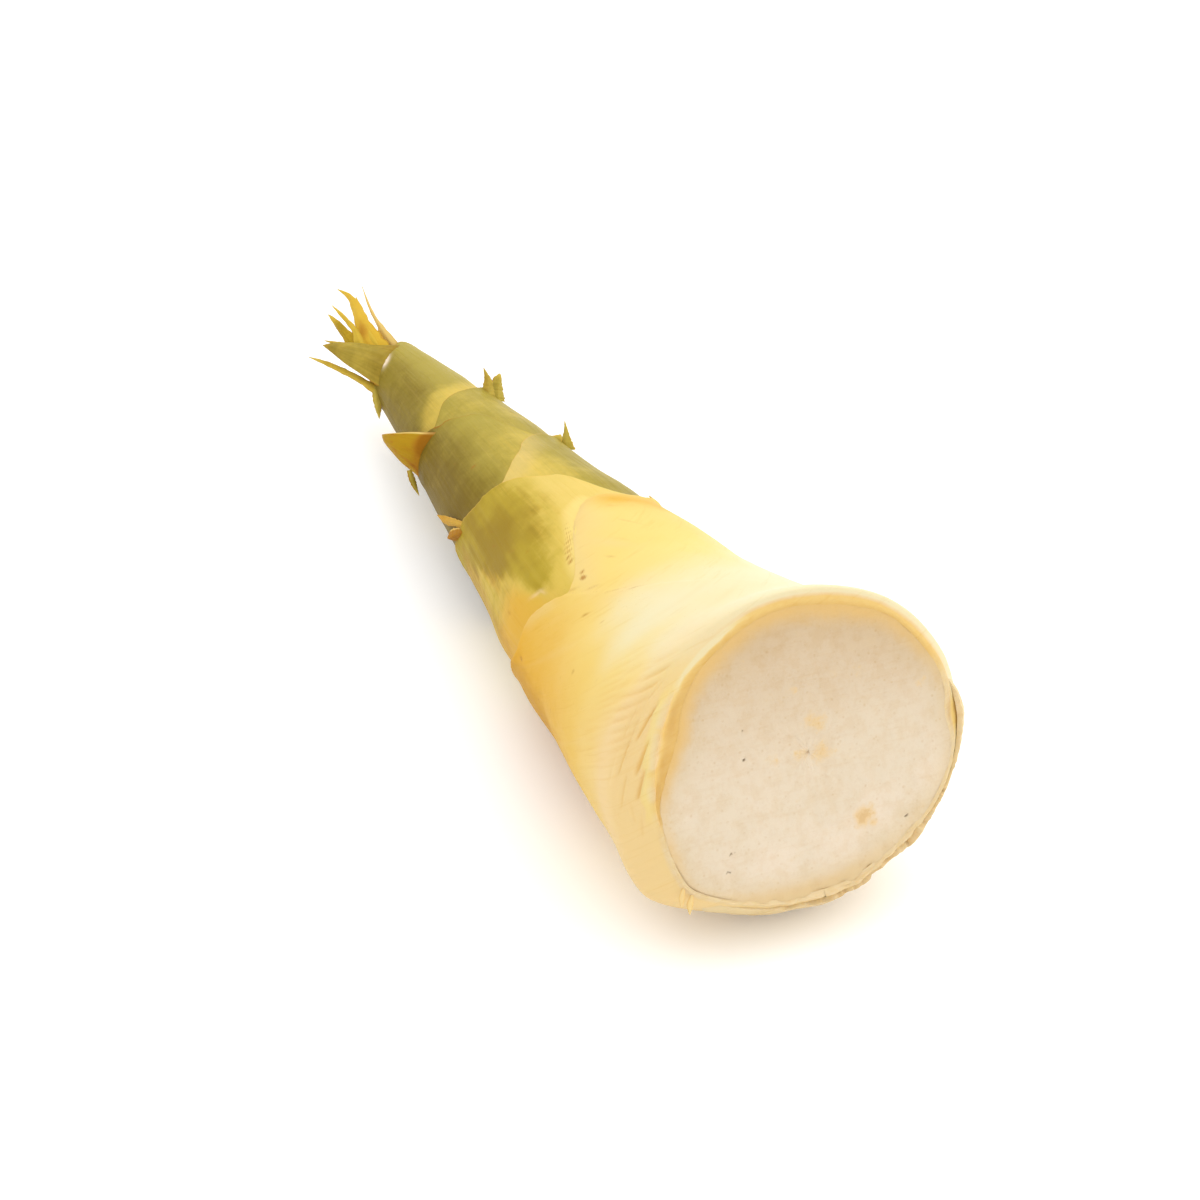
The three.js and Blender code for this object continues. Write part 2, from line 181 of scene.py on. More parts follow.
# Narrow strips: rows of (reach, y, z, width) along the middle. "twist" turns a strip about its length, in
# degrees, and "fold" is the height of its midrib as a share of its width.
MARGIN_STRIPS = (
    {"sheath": 1, "twist": 8, "fold": 0.1, "young": 0.0, "deep": 0.0, "tan": 0.9,
     "rows": ((-8.5, 34.2, 22.8, 0.7), (-9.5, 35.2, 20.9, 1.6), (-10.5, 35.7, 18.9, 0.3))},
    {"sheath": 1, "twist": -8, "fold": 0.1, "young": 0.0, "deep": 0.0, "tan": 1.0,
     "rows": ((-7.6, 36.0, 24.8, 0.7), (-8.9, 37.1, 22.9, 1.4), (-10, 37.6, 21.0, 0.3))},
    {"sheath": 2, "twist": 6, "fold": 0.4, "young": 0.0, "deep": 1.1, "dry": 0.55, "upper_brim": 0.35,
     "rows": ((158.2, 24.8, 31.4, 1.6), (161.5, 25.2, 30.4, 1.9), (165, 25.7, 29.2, 2.1),
              (168.5, 26.0, 27.8, 2.4), (172, 26.4, 26.9, 1.9), (175, 27.0, 26.6, 0.2))},
    {"sheath": 2, "twist": 8, "fold": 0.5, "young": 0.3, "deep": 1.2, "dry": 1.1, "upper_brim": 0.9,
     "rows": ((157.2, 24.6, 30.4, 1.6), (160.6, 26.2, 28.2, 3.0), (163.6, 27.2, 25.8, 3.4),
              (165.6, 27.2, 24.4, 1.4))},
    {"sheath": 3, "twist": 10, "fold": 0.2, "young": 0.75, "deep": 0.15,
     "rows": ((179.5, -14.9, 35.6, 5.0), (182, -15.7, 37.6, 3.2), (184, -16.6, 39.0, 1.5),
              (186.3, -17.2, 41.3, 0.2))},
    {"sheath": 3, "twist": 0, "fold": 0.1, "young": 0.6, "deep": 0.1,
     "rows": ((180.5, -8.5, 38.6, 1.2), (181.5, -11.6, 39.1, 1.8), (182.2, -14.6, 38.4, 2.2))},
    {"sheath": 4, "twist": 20, "fold": 0.2, "young": 0.8, "deep": 0.2,
     "rows": ((208.4, 22.8, 22.8, 1.3), (207.4, 22.5, 20.8, 1.9), (206.6, 21.9, 18.3, 1.6),
              (205.6, 21.0, 15.2, 0.2))},
    {"sheath": 5, "twist": 15, "fold": 0.25, "young": 0.45, "deep": 0.2,
     "rows": ((222.3, -8.2, 32.2, 5.0), (224.5, -9.2, 34.8, 4.6), (225.5, -9.1, 37.6, 2.1),
              (226, -8.2, 41.3, 0.2))},
    {"sheath": 5, "twist": -30, "fold": 0.3, "young": 0.75, "deep": 0.1,
     "rows": ((221.5, -10.7, 31.6, 5.0), (223.5, -11.3, 34.0, 4.8), (224.6, -12.1, 36.4, 3.6),
              (225.3, -12.9, 37.8, 2.0), (225.6, -13.1, 38.5, 0.5))},
    {"sheath": 6, "twist": 0, "fold": 0.2, "young": 0.3, "deep": 0.5,
     "rows": ((277.5, 11.5, 27.0, 2.0), (280.5, 15, 27.6, 1.7), (283.5, 18.4, 27.8, 1.1),
              (286, 21, 28, 0.2))},
    {"sheath": 6, "twist": -20, "fold": 0.25, "young": 0.7, "deep": 0.2,
     "rows": ((265, 12.2, 20.6, 2.4), (262, 13.1, 18.1, 2.9), (258.5, 13.9, 15.8, 2.0),
              (256, 14.6, 14, 0.2))},
)

# The free leaves at the tip, laid out in the same way.
LEAVES = (
    {"name": "tip_leaf_1", "twist": 12, "fold": 0.16, "young": 0.1, "deep": 0.55, "spot": (0.42, 0.8),
     "rows": ((269, 4.4, 20, 9), (276.8, 8.4, 27.4, 8.7), (282.8, 8.7, 30.1, 6.4),
              (288.9, 8, 31.8, 4.3), (294.9, 7.1, 32.5, 3.6), (301.7, 7, 33.2, 1.9),
              (308.9, 8.3, 32.8, 0.2))},
    {"name": "tip_leaf_2", "twist": -20, "fold": 0.2, "young": 0.25, "deep": 0.5,
     "rows": ((269, 2.8, 22, 3), (277.7, 7.6, 29, 2.9), (286.3, 7, 31.1, 1.8), (295.2, 5.5, 31.6, 1.2),
              (304.9, 3.5, 31.1, 0.2))},
    {"name": "tip_leaf_3", "twist": 15, "fold": 0.22, "young": 0.2, "deep": 0.5, "pale": 0.3,
     "tan": 0.5,
     "rows": ((269, -2.2, 19.5, 3.4), (276.4, 1.7, 26.6, 3.3), (282.6, 2.7, 29, 2.3),
              (289.4, 2.7, 30, 1.3), (297.1, 2.1, 31.3, 0.9), (306.1, 0.9, 33.6, 0.2))},
    {"name": "tip_leaf_4", "twist": -12, "fold": 0.2, "young": 0.35, "deep": 0.5,
     "rows": ((269, 6.5, 18, 4.5), (278.8, 11.2, 27.4, 4.3), (284.8, 11, 29.7, 2.3),
              (290.7, 11.3, 30.2, 1.6), (296.9, 11.8, 30.6, 1.2), (303, 12.3, 30.6, 0.2))},
    {"name": "tip_leaf_5", "twist": 18, "fold": 0.2, "young": 0.75, "deep": 0.4,
     "rows": ((269, 6, 14, 5), (276, 11, 22.5, 5.4), (281.5, 12.9, 26.5, 5.1), (285.5, 13.5, 27.9, 3.6),
              (289.8, 13.9, 28.5, 2.9), (294.8, 14.2, 28.9, 2.1), (300.3, 14.5, 29, 0.4))},
    {"name": "tip_leaf_6", "twist": -15, "fold": 0.2, "young": 0.1, "deep": 0.8,
     "rows": ((269, 0.5, 16.5, 5), (278.2, 4.5, 25.8, 5.2), (282.9, 3.3, 26.7, 3.1),
              (287.8, 1.9, 26.6, 1.6), (292.7, 0.4, 26.2, 0.2))},
    {"name": "side_blade", "twist": 10, "fold": 0.25, "young": 0.55, "deep": 0.1, "pale": 0.35,
     "rows": ((260, 10.4, 17.6, 2.6), (263.6, 12.4, 19.4, 2.8), (269.4, 15.7, 21.2, 2.1),
              (275.4, 19.2, 22.2, 1.9), (281.7, 22.6, 22.6, 1.4), (288, 25.9, 22.4, 0.2))},
)
LEAF_THICKNESS = 0.5  # of strips and leaves where they are wide

# Direction across the slanting fibres of the outermost sheath.
FIBRE_NORMAL = np.array((0.57, 0.335, 0.75))

# Small marks on the outermost sheath: angle, reach, half length, half width in mm, slant in degrees from
# straight round the shoot, and strength.
OUTER_MARKS = (
    (44, 65, 1.6, 0.7, 40, 0.7), (41, 54, 1.1, 0.6, 30, 0.6), (84, 88, 0.9, 0.9, 0, 0.9),
    (63, 51, 0.9, 0.7, 0, 0.6), (93, 74, 0.8, 0.8, 0, 0.6), (66, 62, 0.8, 0.6, 0, 0.35),
    (49, 44, 1.0, 0.5, 20, 0.3), (40, 80, 3.2, 0.9, 40, 0.45), (34, 74, 4.0, 0.8, 42, 0.5),
    (29, 64, 4.6, 0.7, 46, 0.5), (22, 57, 3.4, 0.6, 44, 0.6), (-4, 98, 6.0, 0.8, 62, 0.35),
    (33.5, 81, 1.1, 0.8, 60, 1.35), (32, 83.6, 0.9, 0.7, 0, 1.1), (70, 58, 0.9, 0.6, 10, 0.5),
    (72, 44, 1.1, 0.5, 30, 0.35), (88, 62, 0.8, 0.7, 0, 0.5), (52, 72, 1.3, 0.6, 20, 0.4),
    (8, 89, 5.0, 0.8, 62, 0.3), (18, 82, 4.0, 0.7, 62, 0.4), (-8, 112.5, 5.0, 1.6, 18, 0.35),
    (-19, 116, 4.0, 1.5, 12, 0.3), (5, 60, 2.0, 0.5, 30, 0.25), (58, 36, 1.2, 0.5, 20, 0.3),
)
# The same on the second sheath.
SECOND_MARKS = (
    (32.5, 92, 1.2, 0.7, -20, 1.2), (31.8, 94.4, 1.4, 0.5, -14, 1.0), (29.6, 96.8, 1.4, 0.5, -4, 1.2),
    (28.6, 98.8, 1.7, 0.45, -12, 1.0), (26.8, 101.2, 1.4, 0.5, -8, 1.1), (25.6, 103.3, 1.7, 0.4, -12, 0.9),
    (24.2, 105.6, 1.3, 0.45, -2, 0.9), (23.4, 108.2, 1.6, 0.4, 4, 0.7), (21.4, 110.8, 1.3, 0.4, 0, 0.6),
    (60, 132, 2.4, 0.7, 60, 0.5), (52, 120, 2.6, 0.6, 50, 0.5), (45, 112, 0.9, 0.7, 0, 0.7),
    (66, 118, 2.2, 0.7, 40, 0.5), (56, 138, 2.0, 0.5, 70, 0.4), (74, 104, 1.6, 0.8, 80, 0.5),
)

# Dark pits of the cut face: y, z, half length, half width, slant in degrees and strength.
PITS = ((16.2, 57.8, 0.45, 0.4, 0, 0.6), (16.8, 51, 0.5, 0.45, 0, 0.85),
        (22.6, 29.8, 0.95, 0.3, -24, 0.95), (24.2, 25.7, 0.75, 0.34, -8, 0.95),
        (-24.2, 27.8, 0.7, 0.32, -18, 0.9), (-29, 46, 0.3, 0.9, 0, 0.32), (6, 18, 0.3, 0.3, 0, 0.4),
        (-12, 70, 0.3, 0.3, 0, 0.3), (28, 44, 0.3, 0.3, 0, 0.3))
# Brownish flecks: y, z, half size and strength.
FLECKS = ((1.8, 64.2, 1.6, 0.7), (-2.6, 55.6, 3.2, 0.9), (-3.8, 48.3, 3.6, 1.0), (2.3, 48.8, 3.2, 0.7),
          (-12.4, 30.3, 3.0, 1.4), (-15, 28.6, 1.8, 1.1), (-31.5, 59.1, 2.2, 0.5), (9, 49.4, 3, 0.35))


# ---- What a user can change --------------------------------------------------------------------------


def screen_colour(red, green, blue):
    """A colour given as 0 to 255 on screen, as the linear values that shaders use."""

    def linear(level):
        level /= 255
        return level / 12.92 if level <= 0.04045 else ((level + 0.055) / 1.055) ** 2.4
    return (linear(red), linear(green), linear(blue))


def size_property(name, description, millimetres):
    """A length that a user can change."""
    return bpy.props.FloatProperty(name=name, description=description, default=millimetres * MM, min=0,
                                   unit="LENGTH", precision=4)


def colour_property(name, description, red, green, blue):
    """A colour that a user can change."""
    return bpy.props.FloatVectorProperty(name=name, description=description, subtype="COLOR", size=3,
                                         min=0, max=1, default=screen_colour(red, green, blue))


class ShootSizes(bpy.types.PropertyGroup):
    """Sizes of the fine shapes."""

    layer_gap: size_property("Layer gap", "Clear space between neighbouring sheaths", 0.12)
    wrinkle: size_property("Wrinkle", "Height of the slanting wrinkles on the outermost sheath", 0.4)
    rib: size_property("Rib", "Height of the ribs along the sheaths", 0.05)
    crease: size_property("Crease", "Step where the outermost sheath overlaps itself", 0.35)
    fold: size_property("Fold", "Depth of the folds beside the cut", 1.2)
    floor: size_property("Floor", "Side of the floor", 8000)


class ShootColours(bpy.types.PropertyGroup):
    """Colours of the finishes."""

    flesh: colour_property("Flesh", "Cut face of the culm", 215, 199, 174)
    flesh_top: colour_property("Upper flesh", "Upper part of the cut face", 198, 174, 141)
    flesh_pale: colour_property("Pale flesh", "Whitest clouds of the cut face", 225, 209, 188)
    cortex: colour_property("Cortex", "Cut wall of the outermost sheath", 222, 188, 118)
    tint: colour_property("Tinted flesh", "Edge of the cut face", 214, 175, 106)
    torn: colour_property("Torn wall", "Cut and torn wall at the side and underneath", 218, 195, 153)
    ridge: colour_property("Ridge", "Pale rolled edge beside the cut", 221, 194, 148)
    cream: colour_property("Cream", "Outermost sheath, palest part", 222, 211, 172)
    yellow: colour_property("Yellow", "Outermost sheath, middle", 226, 199, 117)
    gold: colour_property("Gold", "Outermost sheath, deepest part", 213, 160, 43)
    bronze: colour_property("Bronze", "Outermost sheath, low on the left", 192, 142, 34)
    tan: colour_property("Tan", "Sheath beside the cut and torn fibres", 223, 193, 140)
    straw: colour_property("Straw", "Young sheaths where they are yellow", 206, 178, 82)
    ochre: colour_property("Ochre", "Second sheath, low left", 211, 165, 62)
    moss: colour_property("Moss", "Green patch of the second sheath", 172, 148, 46)
    dark_moss: colour_property("Dark moss", "Middle of the green patch", 148, 121, 34)
    olive: colour_property("Olive", "Green sheaths", 164, 147, 62)
    dark_olive: colour_property("Dark olive", "Darkest green of the sheaths", 114, 93, 28)
    line: colour_property("Edge line", "Fine line at the margins of the outer sheaths", 218, 164, 80)
    dry: colour_property("Dry edge", "Dried margins and marks", 160, 98, 30)
    blade: colour_property("Blade", "Blades at the margins", 170, 132, 26)
    scar: colour_property("Scar", "Torn pale patch beside the top blade", 236, 216, 188)
    leaf: colour_property("Leaf", "Tip leaves", 204, 174, 66)
    leaf_orange: colour_property("Orange leaf", "Tip leaves, dried parts", 206, 158, 44)
    leaf_green: colour_property("Green leaf", "Tip leaves, green parts", 166, 136, 30)
    fleck: colour_property("Fleck", "Brownish flecks of the cut face", 218, 182, 120)
    torn_flesh: colour_property("Torn flesh", "Torn fibres low on the cut face", 209, 181, 133)
    pit: colour_property("Pit", "Dark pits of the cut face", 104, 84, 58)
    floor: colour_property("Floor", "Floor", 250, 250, 250)


# ---- Numbers over the skin ---------------------------------------------------------------------------


def cubic(rows, at):
    """Smooth curve through (position, value) rows, read at an array of positions."""
    place, value = np.array(rows, float).T
    at = np.clip(at, place[0], place[-1])
    slope = np.zeros_like(value)
    slope[1:-1] = (value[2:] - value[:-2]) / (place[2:] - place[:-2])
    slope[0] = (value[1] - value[0]) / (place[1] - place[0])
    slope[-1] = (value[-1] - value[-2]) / (place[-1] - place[-2])
    i = np.clip(np.searchsorted(place, at, side="right") - 1, 0, len(place) - 2)
    span = place[i + 1] - place[i]
    t = (at - place[i]) / span
    rise = value[i + 1] - value[i]
    m0, m1 = slope[i] * span, slope[i + 1] * span
    return value[i] + m0 * t + (3 * rise - 2 * m0 - m1) * t**2 + (m0 + m1 - 2 * rise) * t**3


def turned(angle, start):
    """Angle from a start, -180 to 180."""
    return (angle - start + 180) % 360 - 180


def ring(rows, angle):
    """The same for (angle, value) rows round the shoot, closed on themselves."""
    thrice = [(a + by, v) for by in (-360, 0, 360) for a, v in rows]
    return cubic(thrice, turned(angle, 0))


def step(value, low, high):
    """0 below low, 1 above high and smooth between. High may be the lower one, which turns it round."""
    t = np.clip((value - low) / (high - low), 0, 1)
    return t * t * (3 - 2 * t)


def within(value, low, full_from, full_to, high):
    """1 from full_from to full_to, 0 below low and above high, and smooth between."""
    return step(value, low, full_from) * step(value, high, full_to)


def fade(t):
    """1 at 0 and below, 0 at 1 and above."""
    return 1 - step(t, 0, 1)


def lerp(a, b, t):
    """From a to b as t goes from 0 to 1."""
    return a + (b - a) * t


def ragged(angle, seed, size):
    """Fine uneven outline round the shoot, always the same for one seed."""
    dice = np.random.default_rng(seed)
    turn = np.radians(angle)
    total = np.zeros_like(turn)
    for waves in (9, 17, 31, 47, 71, 97):
        total += dice.uniform(0.5, 1) * waves**-0.35 * np.sin(waves * turn + dice.uniform(0, math.tau))
    return size * total


PATCH_TABLE = 96  # cells along the shoot after which the values come again


def patches(seed, cells, pitch, reach, angle):
    """Soft random values from -1 to 1, in cells round the shoot, each pitch mm long."""
    length = PATCH_TABLE
    table = np.random.default_rng(seed).uniform(-1, 1, (cells, length))
    u = (angle / 360 % 1) * cells
    v = reach / pitch + 8
    low_u, low_v = np.floor(u).astype(int), np.floor(v).astype(int)
    fu, fv = step(u - low_u, 0, 1), step(v - low_v, 0, 1)
    a = lerp(table[low_u % cells, low_v % length], table[(low_u + 1) % cells, low_v % length], fu)
    b = lerp(table[low_u % cells, (low_v + 1) % length],
             table[(low_u + 1) % cells, (low_v + 1) % length], fu)
    return lerp(a, b, fv)


def section(reach):
    """Middle, half width, half height and lean of the shoot at a reach."""
    return [cubic(SECTIONS[:, (0, k)], reach) for k in range(1, SECTIONS.shape[1])]


def lumps(reach, angle):
    """Unevenness that all layers share, in mm outward."""
    turn = np.radians(angle)
    size = np.interp(reach, (0, 60, 282), (0.45, 0.35, 0.1))
    return size * (0.6 * np.sin(3 * turn + 0.9 + reach / 31) + 0.4 * np.sin(5 * turn - 1.7 - reach / 19)
                   + 0.3 * np.sin(8 * turn + reach / 9))


def skin(reach, angle, inset):
    """Points under the shoot's outer surface, flattened where the shoot lies."""
    y, z, half_width, half_height, lean = section(reach)
    turn = np.radians(angle)
    flare = ring(FLARE, angle) * fade((reach - FLARE_FULL) / FLARE_RUN)
    inward = inset - lumps(reach, angle) - flare
    up = (half_height - inward) * np.cos(turn)
    side = (half_width - inward) * np.sin(turn)
    return np.stack((reach + lean * up, y + side, np.maximum(z + up, np.maximum(inset, 0))), axis=-1)


def margin(sheath, angle):
    """Reach where a sheath ends."""
    return ring(sheath["margin"], angle) + ragged(angle, sheath["seed"], sheath["ragged"])


def wall(sheath, reach, angle):
    """Thickness of a sheath."""
    below = margin(sheath, angle) - reach
    body = sheath["body"]
    if sheath["node"] == 0:
        body = lerp(body, ring(CUT_WALL, angle), fade(reach / FOOT_RUN))
    return lerp(body, ring(sheath["lip"], angle), fade(below / EDGE_RUN))


def cover(sheath, reach, angle, gap):
    """Depth that a sheath takes from the layers under it."""
    below = margin(sheath, angle) - reach
    over = wall(sheath, np.minimum(reach, margin(sheath, angle)), angle) + gap
    past = (ring(sheath["lip"], angle) + gap) * fade(-below / SETTLE_RUN)
    return np.where(below >= 0, over, past)


def slit(angle, half):
    """Where the collar stands off in a slit beside the cut, 1 in its middle."""
    return np.exp(-(turned(angle, SLIT["angle"]) / half) ** 2)


def collar_cover(reach, angle, gap):
    """Depth that the torn collar takes beside the cut."""
    around = angle % 360
    middle = (COLLAR["from"] + COLLAR["to"]) / 2
    half = (COLLAR["to"] - COLLAR["from"]) / 2
    beside = fade((np.abs(around - middle) - half) / COLLAR["spread"])
    thickness = cubic(COLLAR_WALL, around)
    sink = SLIT["sink"] * slit(angle, SLIT["half"]) * fade(reach / SLIT["run"])
    return (thickness + gap) * beside * fade((reach - COLLAR["length"]) / SETTLE_RUN) + sink


def depth(layers, reach, angle, gap):
    """Depth under the shoot's outer surface of what lies under the first sheaths."""
    total = collar_cover(reach, angle, gap)
    for sheath in SHEATHS[:layers]:
        total = total + cover(sheath, reach, angle, gap)
    return total


def oval(across, along, half_length, half_width, slant):
    """A soft mark, 1 in its middle, turned by slant degrees."""
    turn = math.radians(slant)
    u = across * math.cos(turn) + along * math.sin(turn)
    v = along * math.cos(turn) - across * math.sin(turn)
    return np.exp(-(u / half_length) ** 2 - (v / half_width) ** 2)


def blot(reach, angle, at_angle, at_reach, *size):
    """An oval on the skin: half length, half width and slant follow its place."""
    radius = cubic(SECTIONS[:, (0, 3)], np.array(float(at_reach)))
    around = np.radians(turned(angle, at_angle)) * radius
    return oval(around, reach - at_reach, *size)


def blots(rows, reach, angle):
    """The strongest of many blots."""
    marks = [strength * blot(reach, angle, *spot) for *spot, strength in rows]
    return np.max(marks, axis=0)


# ---- Making meshes -----------------------------------------------------------------------------------

WELD = 0.002  # points closer than this become one
SMOOTH_BELOW = 50  # degrees between two faces up to which their edge is smooth
GRAIN_RADIUS = 30  # of the circle that the fibres' coordinates run round


def grid_piece(name, place, paint):
    """A closed piece from rows of points in mm. Rows and columns that meet are welded."""
    rows, columns = place.shape[:2]
    bpy.ops.object.select_all(action="DESELECT")
    bpy.ops.mesh.primitive_grid_add(x_subdivisions=columns - 1, y_subdivisions=rows - 1, size=1,
                                    calc_uvs=False)
    piece = bpy.context.object
    piece.name = piece.data.name = name
    points = (place - MIDDLE_OF_FOOTPRINT) * MM
    piece.data.vertices.foreach_set("co", points.reshape(-1))
    for key, values in paint.items():
        vector = values.ndim == 3
        layer = piece.data.attributes.new(key, "FLOAT_VECTOR" if vector else "FLOAT", "POINT")
        layer.data.foreach_set("vector" if vector else "value", values.astype(np.float32).reshape(-1))
    bpy.ops.object.mode_set(mode="EDIT")
    bpy.ops.mesh.select_all(action="SELECT")
    bpy.ops.mesh.remove_doubles(threshold=WELD * MM)
    bpy.ops.mesh.normals_make_consistent(inside=False)
    bpy.ops.object.mode_set(mode="OBJECT")
    bpy.ops.object.shade_smooth_by_angle(angle=math.radians(SMOOTH_BELOW))
    return piece


def join(pieces):
    """One piece from several, under the first one's name."""
    bpy.ops.object.select_all(action="DESELECT")
    for piece in pieces:
        piece.select_set(True)
    bpy.context.view_layer.objects.active = pieces[0]
    bpy.ops.object.join()
    return pieces[0]


def sheet_grid(middle, thickness):
    """Rows of points round a thin sheet, out on one side and back on the other."""
    across = np.gradient(middle, axis=1)
    along = np.gradient(middle, axis=0)
    normal = np.cross(across, along)
    length = np.linalg.norm(normal, axis=-1, keepdims=True)
    normal = normal / np.maximum(length, 1e-9)
    half = normal * thickness[..., None] / 2
    return both_sides(middle + half, middle - half)


def finish_piece(piece, material, nodes):
    """Gives a piece its finish and its place in the model."""
    piece.data.materials.clear()
    piece.data.materials.append(material)
    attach(piece, "root")
    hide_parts(*nodes)


def surface_grain(reach, angle, stretch):
    """Coordinates that run round the shoot in mm and stretch times slower along it, as its fibres do."""
    turn = np.radians(angle)
    return np.stack((GRAIN_RADIUS * np.cos(turn), GRAIN_RADIUS * np.sin(turn), reach / stretch), axis=-1)


def closed(values):
    """Rows of values with the first row again at the end."""
    return np.concatenate((values, values[:1]))


# ---- Culm ----------------------------------------------------------------------------------------------

FACE_RINGS = 66
CULM_COLUMNS = 300
PIT_DEPTH = 0.5
FACE_OVERLAP = 0.1  # how far the cut face's edge reaches into the wall round it
CULM_CLEARANCE = 0.3  # between the culm's side and the sheaths, behind the cut
# The fine crack between the flesh and the wall low on the left of the cut.
CRACK = {"angles": (114, 121, 143, 150), "width": 0.22, "depth": 6}


def culm_side_rows():
    """(reach, sheaths over it) along the culm. Two rows at one reach make a node's shoulder."""
    rows = [(reach, 1) for reach in (0.5, 1.5, 4, 9, 14, 21, 29, 37)]
    for layer, sheath in enumerate(SHEATHS):
        if layer:
            foot = sheath["node"] - SHOULDER
            rows += [(foot, layer), (foot, layer + 1)]
        end = SHEATHS[layer + 1]["node"] if layer + 1 < len(SHEATHS) else CULM_END
        start = max(sheath["node"], rows[-1][0])
        count = int((end - start) // CULM_ROW)
        rows += [(lerp(start, end, i / (count + 1)), layer + 1) for i in range(1, count + 1)]
    return rows + [(CULM_END, len(SHEATHS))]


def make_culm(sizes):
    """The solid flesh: its cut face from the middle out, its side and its tip."""
    gap = sizes.layer_gap / MM
    angle = np.linspace(-180, 180, CULM_COLUMNS + 1)
    zero = np.zeros_like(angle)
    open_gap = CRACK["width"] * within(angle, *CRACK["angles"])
    edge = skin(zero, angle, depth(1, zero, angle, -FACE_OVERLAP) + open_gap)
    middle = np.array((0.0, *section(np.array(0.0))[:2]))
    share, around = np.meshgrid(np.linspace(0, 1, FACE_RINGS), angle, indexing="ij")
    face = middle + share[..., None] * (edge - middle)
    from_edge = (1 - share) * np.linalg.norm(edge - middle, axis=-1)
    bulge = 0.5 * patches(21, 9, 0.5, 2 * share, around) * share * (1 - share)
    fine = 0.07 * patches(22, 60, 0.06, share, around)
    torn = 0.5 * step(share, 0.86, 1) * step(np.abs(around), 135, 165)
    torn = torn * patches(23, 90, 0.05, share, around)
    y, z = face[..., 1], face[..., 2]
    pit = np.max([strength * oval(y - at_y, z - at_z, *size)
                  for at_y, at_z, *size, strength in PITS], axis=0)
    fleck = np.max([strength * oval(y - at_y, z - at_z, size, size, 0)
                    for at_y, at_z, size, strength in FLECKS], axis=0)
    face[..., 0] += bulge + fine + torn + PIT_DEPTH * pit
    face[..., 0] += open_gap * step(from_edge, 0.7, 0)

    sides = []
    for reach, layers in culm_side_rows():
        at = reach + zero
        clearance = open_gap * fade(at / CRACK["depth"]) + CULM_CLEARANCE * step(at, 1, 4)
        sides.append(skin(at, angle, depth(layers, at, angle, gap) + clearance))
    last = skin(zero + CULM_END + CULM_TIP_ROUNDING / 2, angle,
                depth(len(SHEATHS), zero + CULM_END, angle, gap) + CULM_TIP_ROUNDING)
    end = last.mean(axis=0) + np.array((CULM_TIP_ROUNDING / 4, 0, 0))
    tip = [last, end + 0 * last]
    place = np.concatenate((face, np.array(sides + tip)), axis=0)
    behind = np.zeros((len(place) - FACE_RINGS, CULM_COLUMNS + 1))
    paint = {
        "rim": np.concatenate((from_edge / ring(TINT_WIDTH, around), behind)),
        "gold": np.concatenate((ring(TINT_GOLD, around), behind + 1)),
        "pit": np.concatenate((pit, behind)),
        "fleck": np.concatenate((fleck, behind)),
        "torn": np.concatenate((step(share, 0.78, 1.0) * step(np.abs(around), 138, 168), behind)),
    }
    return grid_piece("culm_flesh", place, paint)


# ---- Sheaths -------------------------------------------------------------------------------------------

LIP_TURNS = (30, 60, 90, 120, 150)  # degrees round a margin's lip at which it has rows
INNER_ROWS = 14
HIDDEN_ROWS = 8
# Reach of the outermost sheath's rows beside the cut, closer together where its grooves are.
FOOT_ROWS = (*np.arange(0.6, 7, 0.28), *np.arange(7, 14.8, 0.55))
FOOT_ROWS_END = 15


def outer_start(index, angle):
    """Reach from which a sheath shows: the margin of the sheaths over it, less a little."""
    sheath = SHEATHS[index]
    if index == 0:
        return 0 * angle + FOOT_ROWS_END
    hidden_by = np.max([margin(above, angle) for above in SHEATHS[:index]], axis=0)
    return np.clip(hidden_by - 3, sheath["node"] + 2, margin(sheath, angle) - 4)


def furrows(phase, width):
    """1 along lines a whole number of phases apart, 0 between."""
    return np.exp(-(((phase + 0.5) % 1 - 0.5) / width) ** 2)


def wrinkle_field(reach, angle):
    """Furrows of the outermost sheath, 0 to 1. They slant over it, and turn low on the left of its foot."""
    across = skin(reach, angle, 0 * reach) @ FIBRE_NORMAL
    bend = 0.22 * patches(32, 10, 24, reach, angle)
    broken = np.clip(0.55 + 0.9 * patches(33, 30, 7, reach, angle), 0, 1)
    close = furrows(across / 1.8 + 1.3 * bend, 0.2) * broken
    close = np.maximum(close, 0.7 * furrows(across / 1.25 - 1.6 * bend, 0.22) * (1 - broken))
    beside_foot = within(reach, 3, 6, 22, 38) * within(angle, 34, 46, 70, 88)
    beside_foot = beside_foot * np.clip(0.75 + 0.6 * patches(42, 30, 9, reach, angle), 0, 1)
    wide = furrows(across / 3.7 + 2 * bend, 0.1)
    wide = wide * np.clip(0.1 + 1.2 * patches(39, 16, 15, reach, angle), 0, 1)
    over_body = 0.45 * within(reach, 5, 14, 50, 84) * step(np.abs(angle - 30), 42, 18)
    along = (reach + 0.6 * (angle - 80)) / 2.6 + 5 * bend
    low = furrows(along, 0.22) * np.clip(0.1 + 1.3 * patches(40, 40, 6, reach, angle), 0, 1)
    low_left = 0.3 * within(reach, 4, 8, 26, 44) * within(angle, 72, 82, 98, 112)
    return np.maximum(np.maximum(close * beside_foot, wide * over_body), low * low_left)


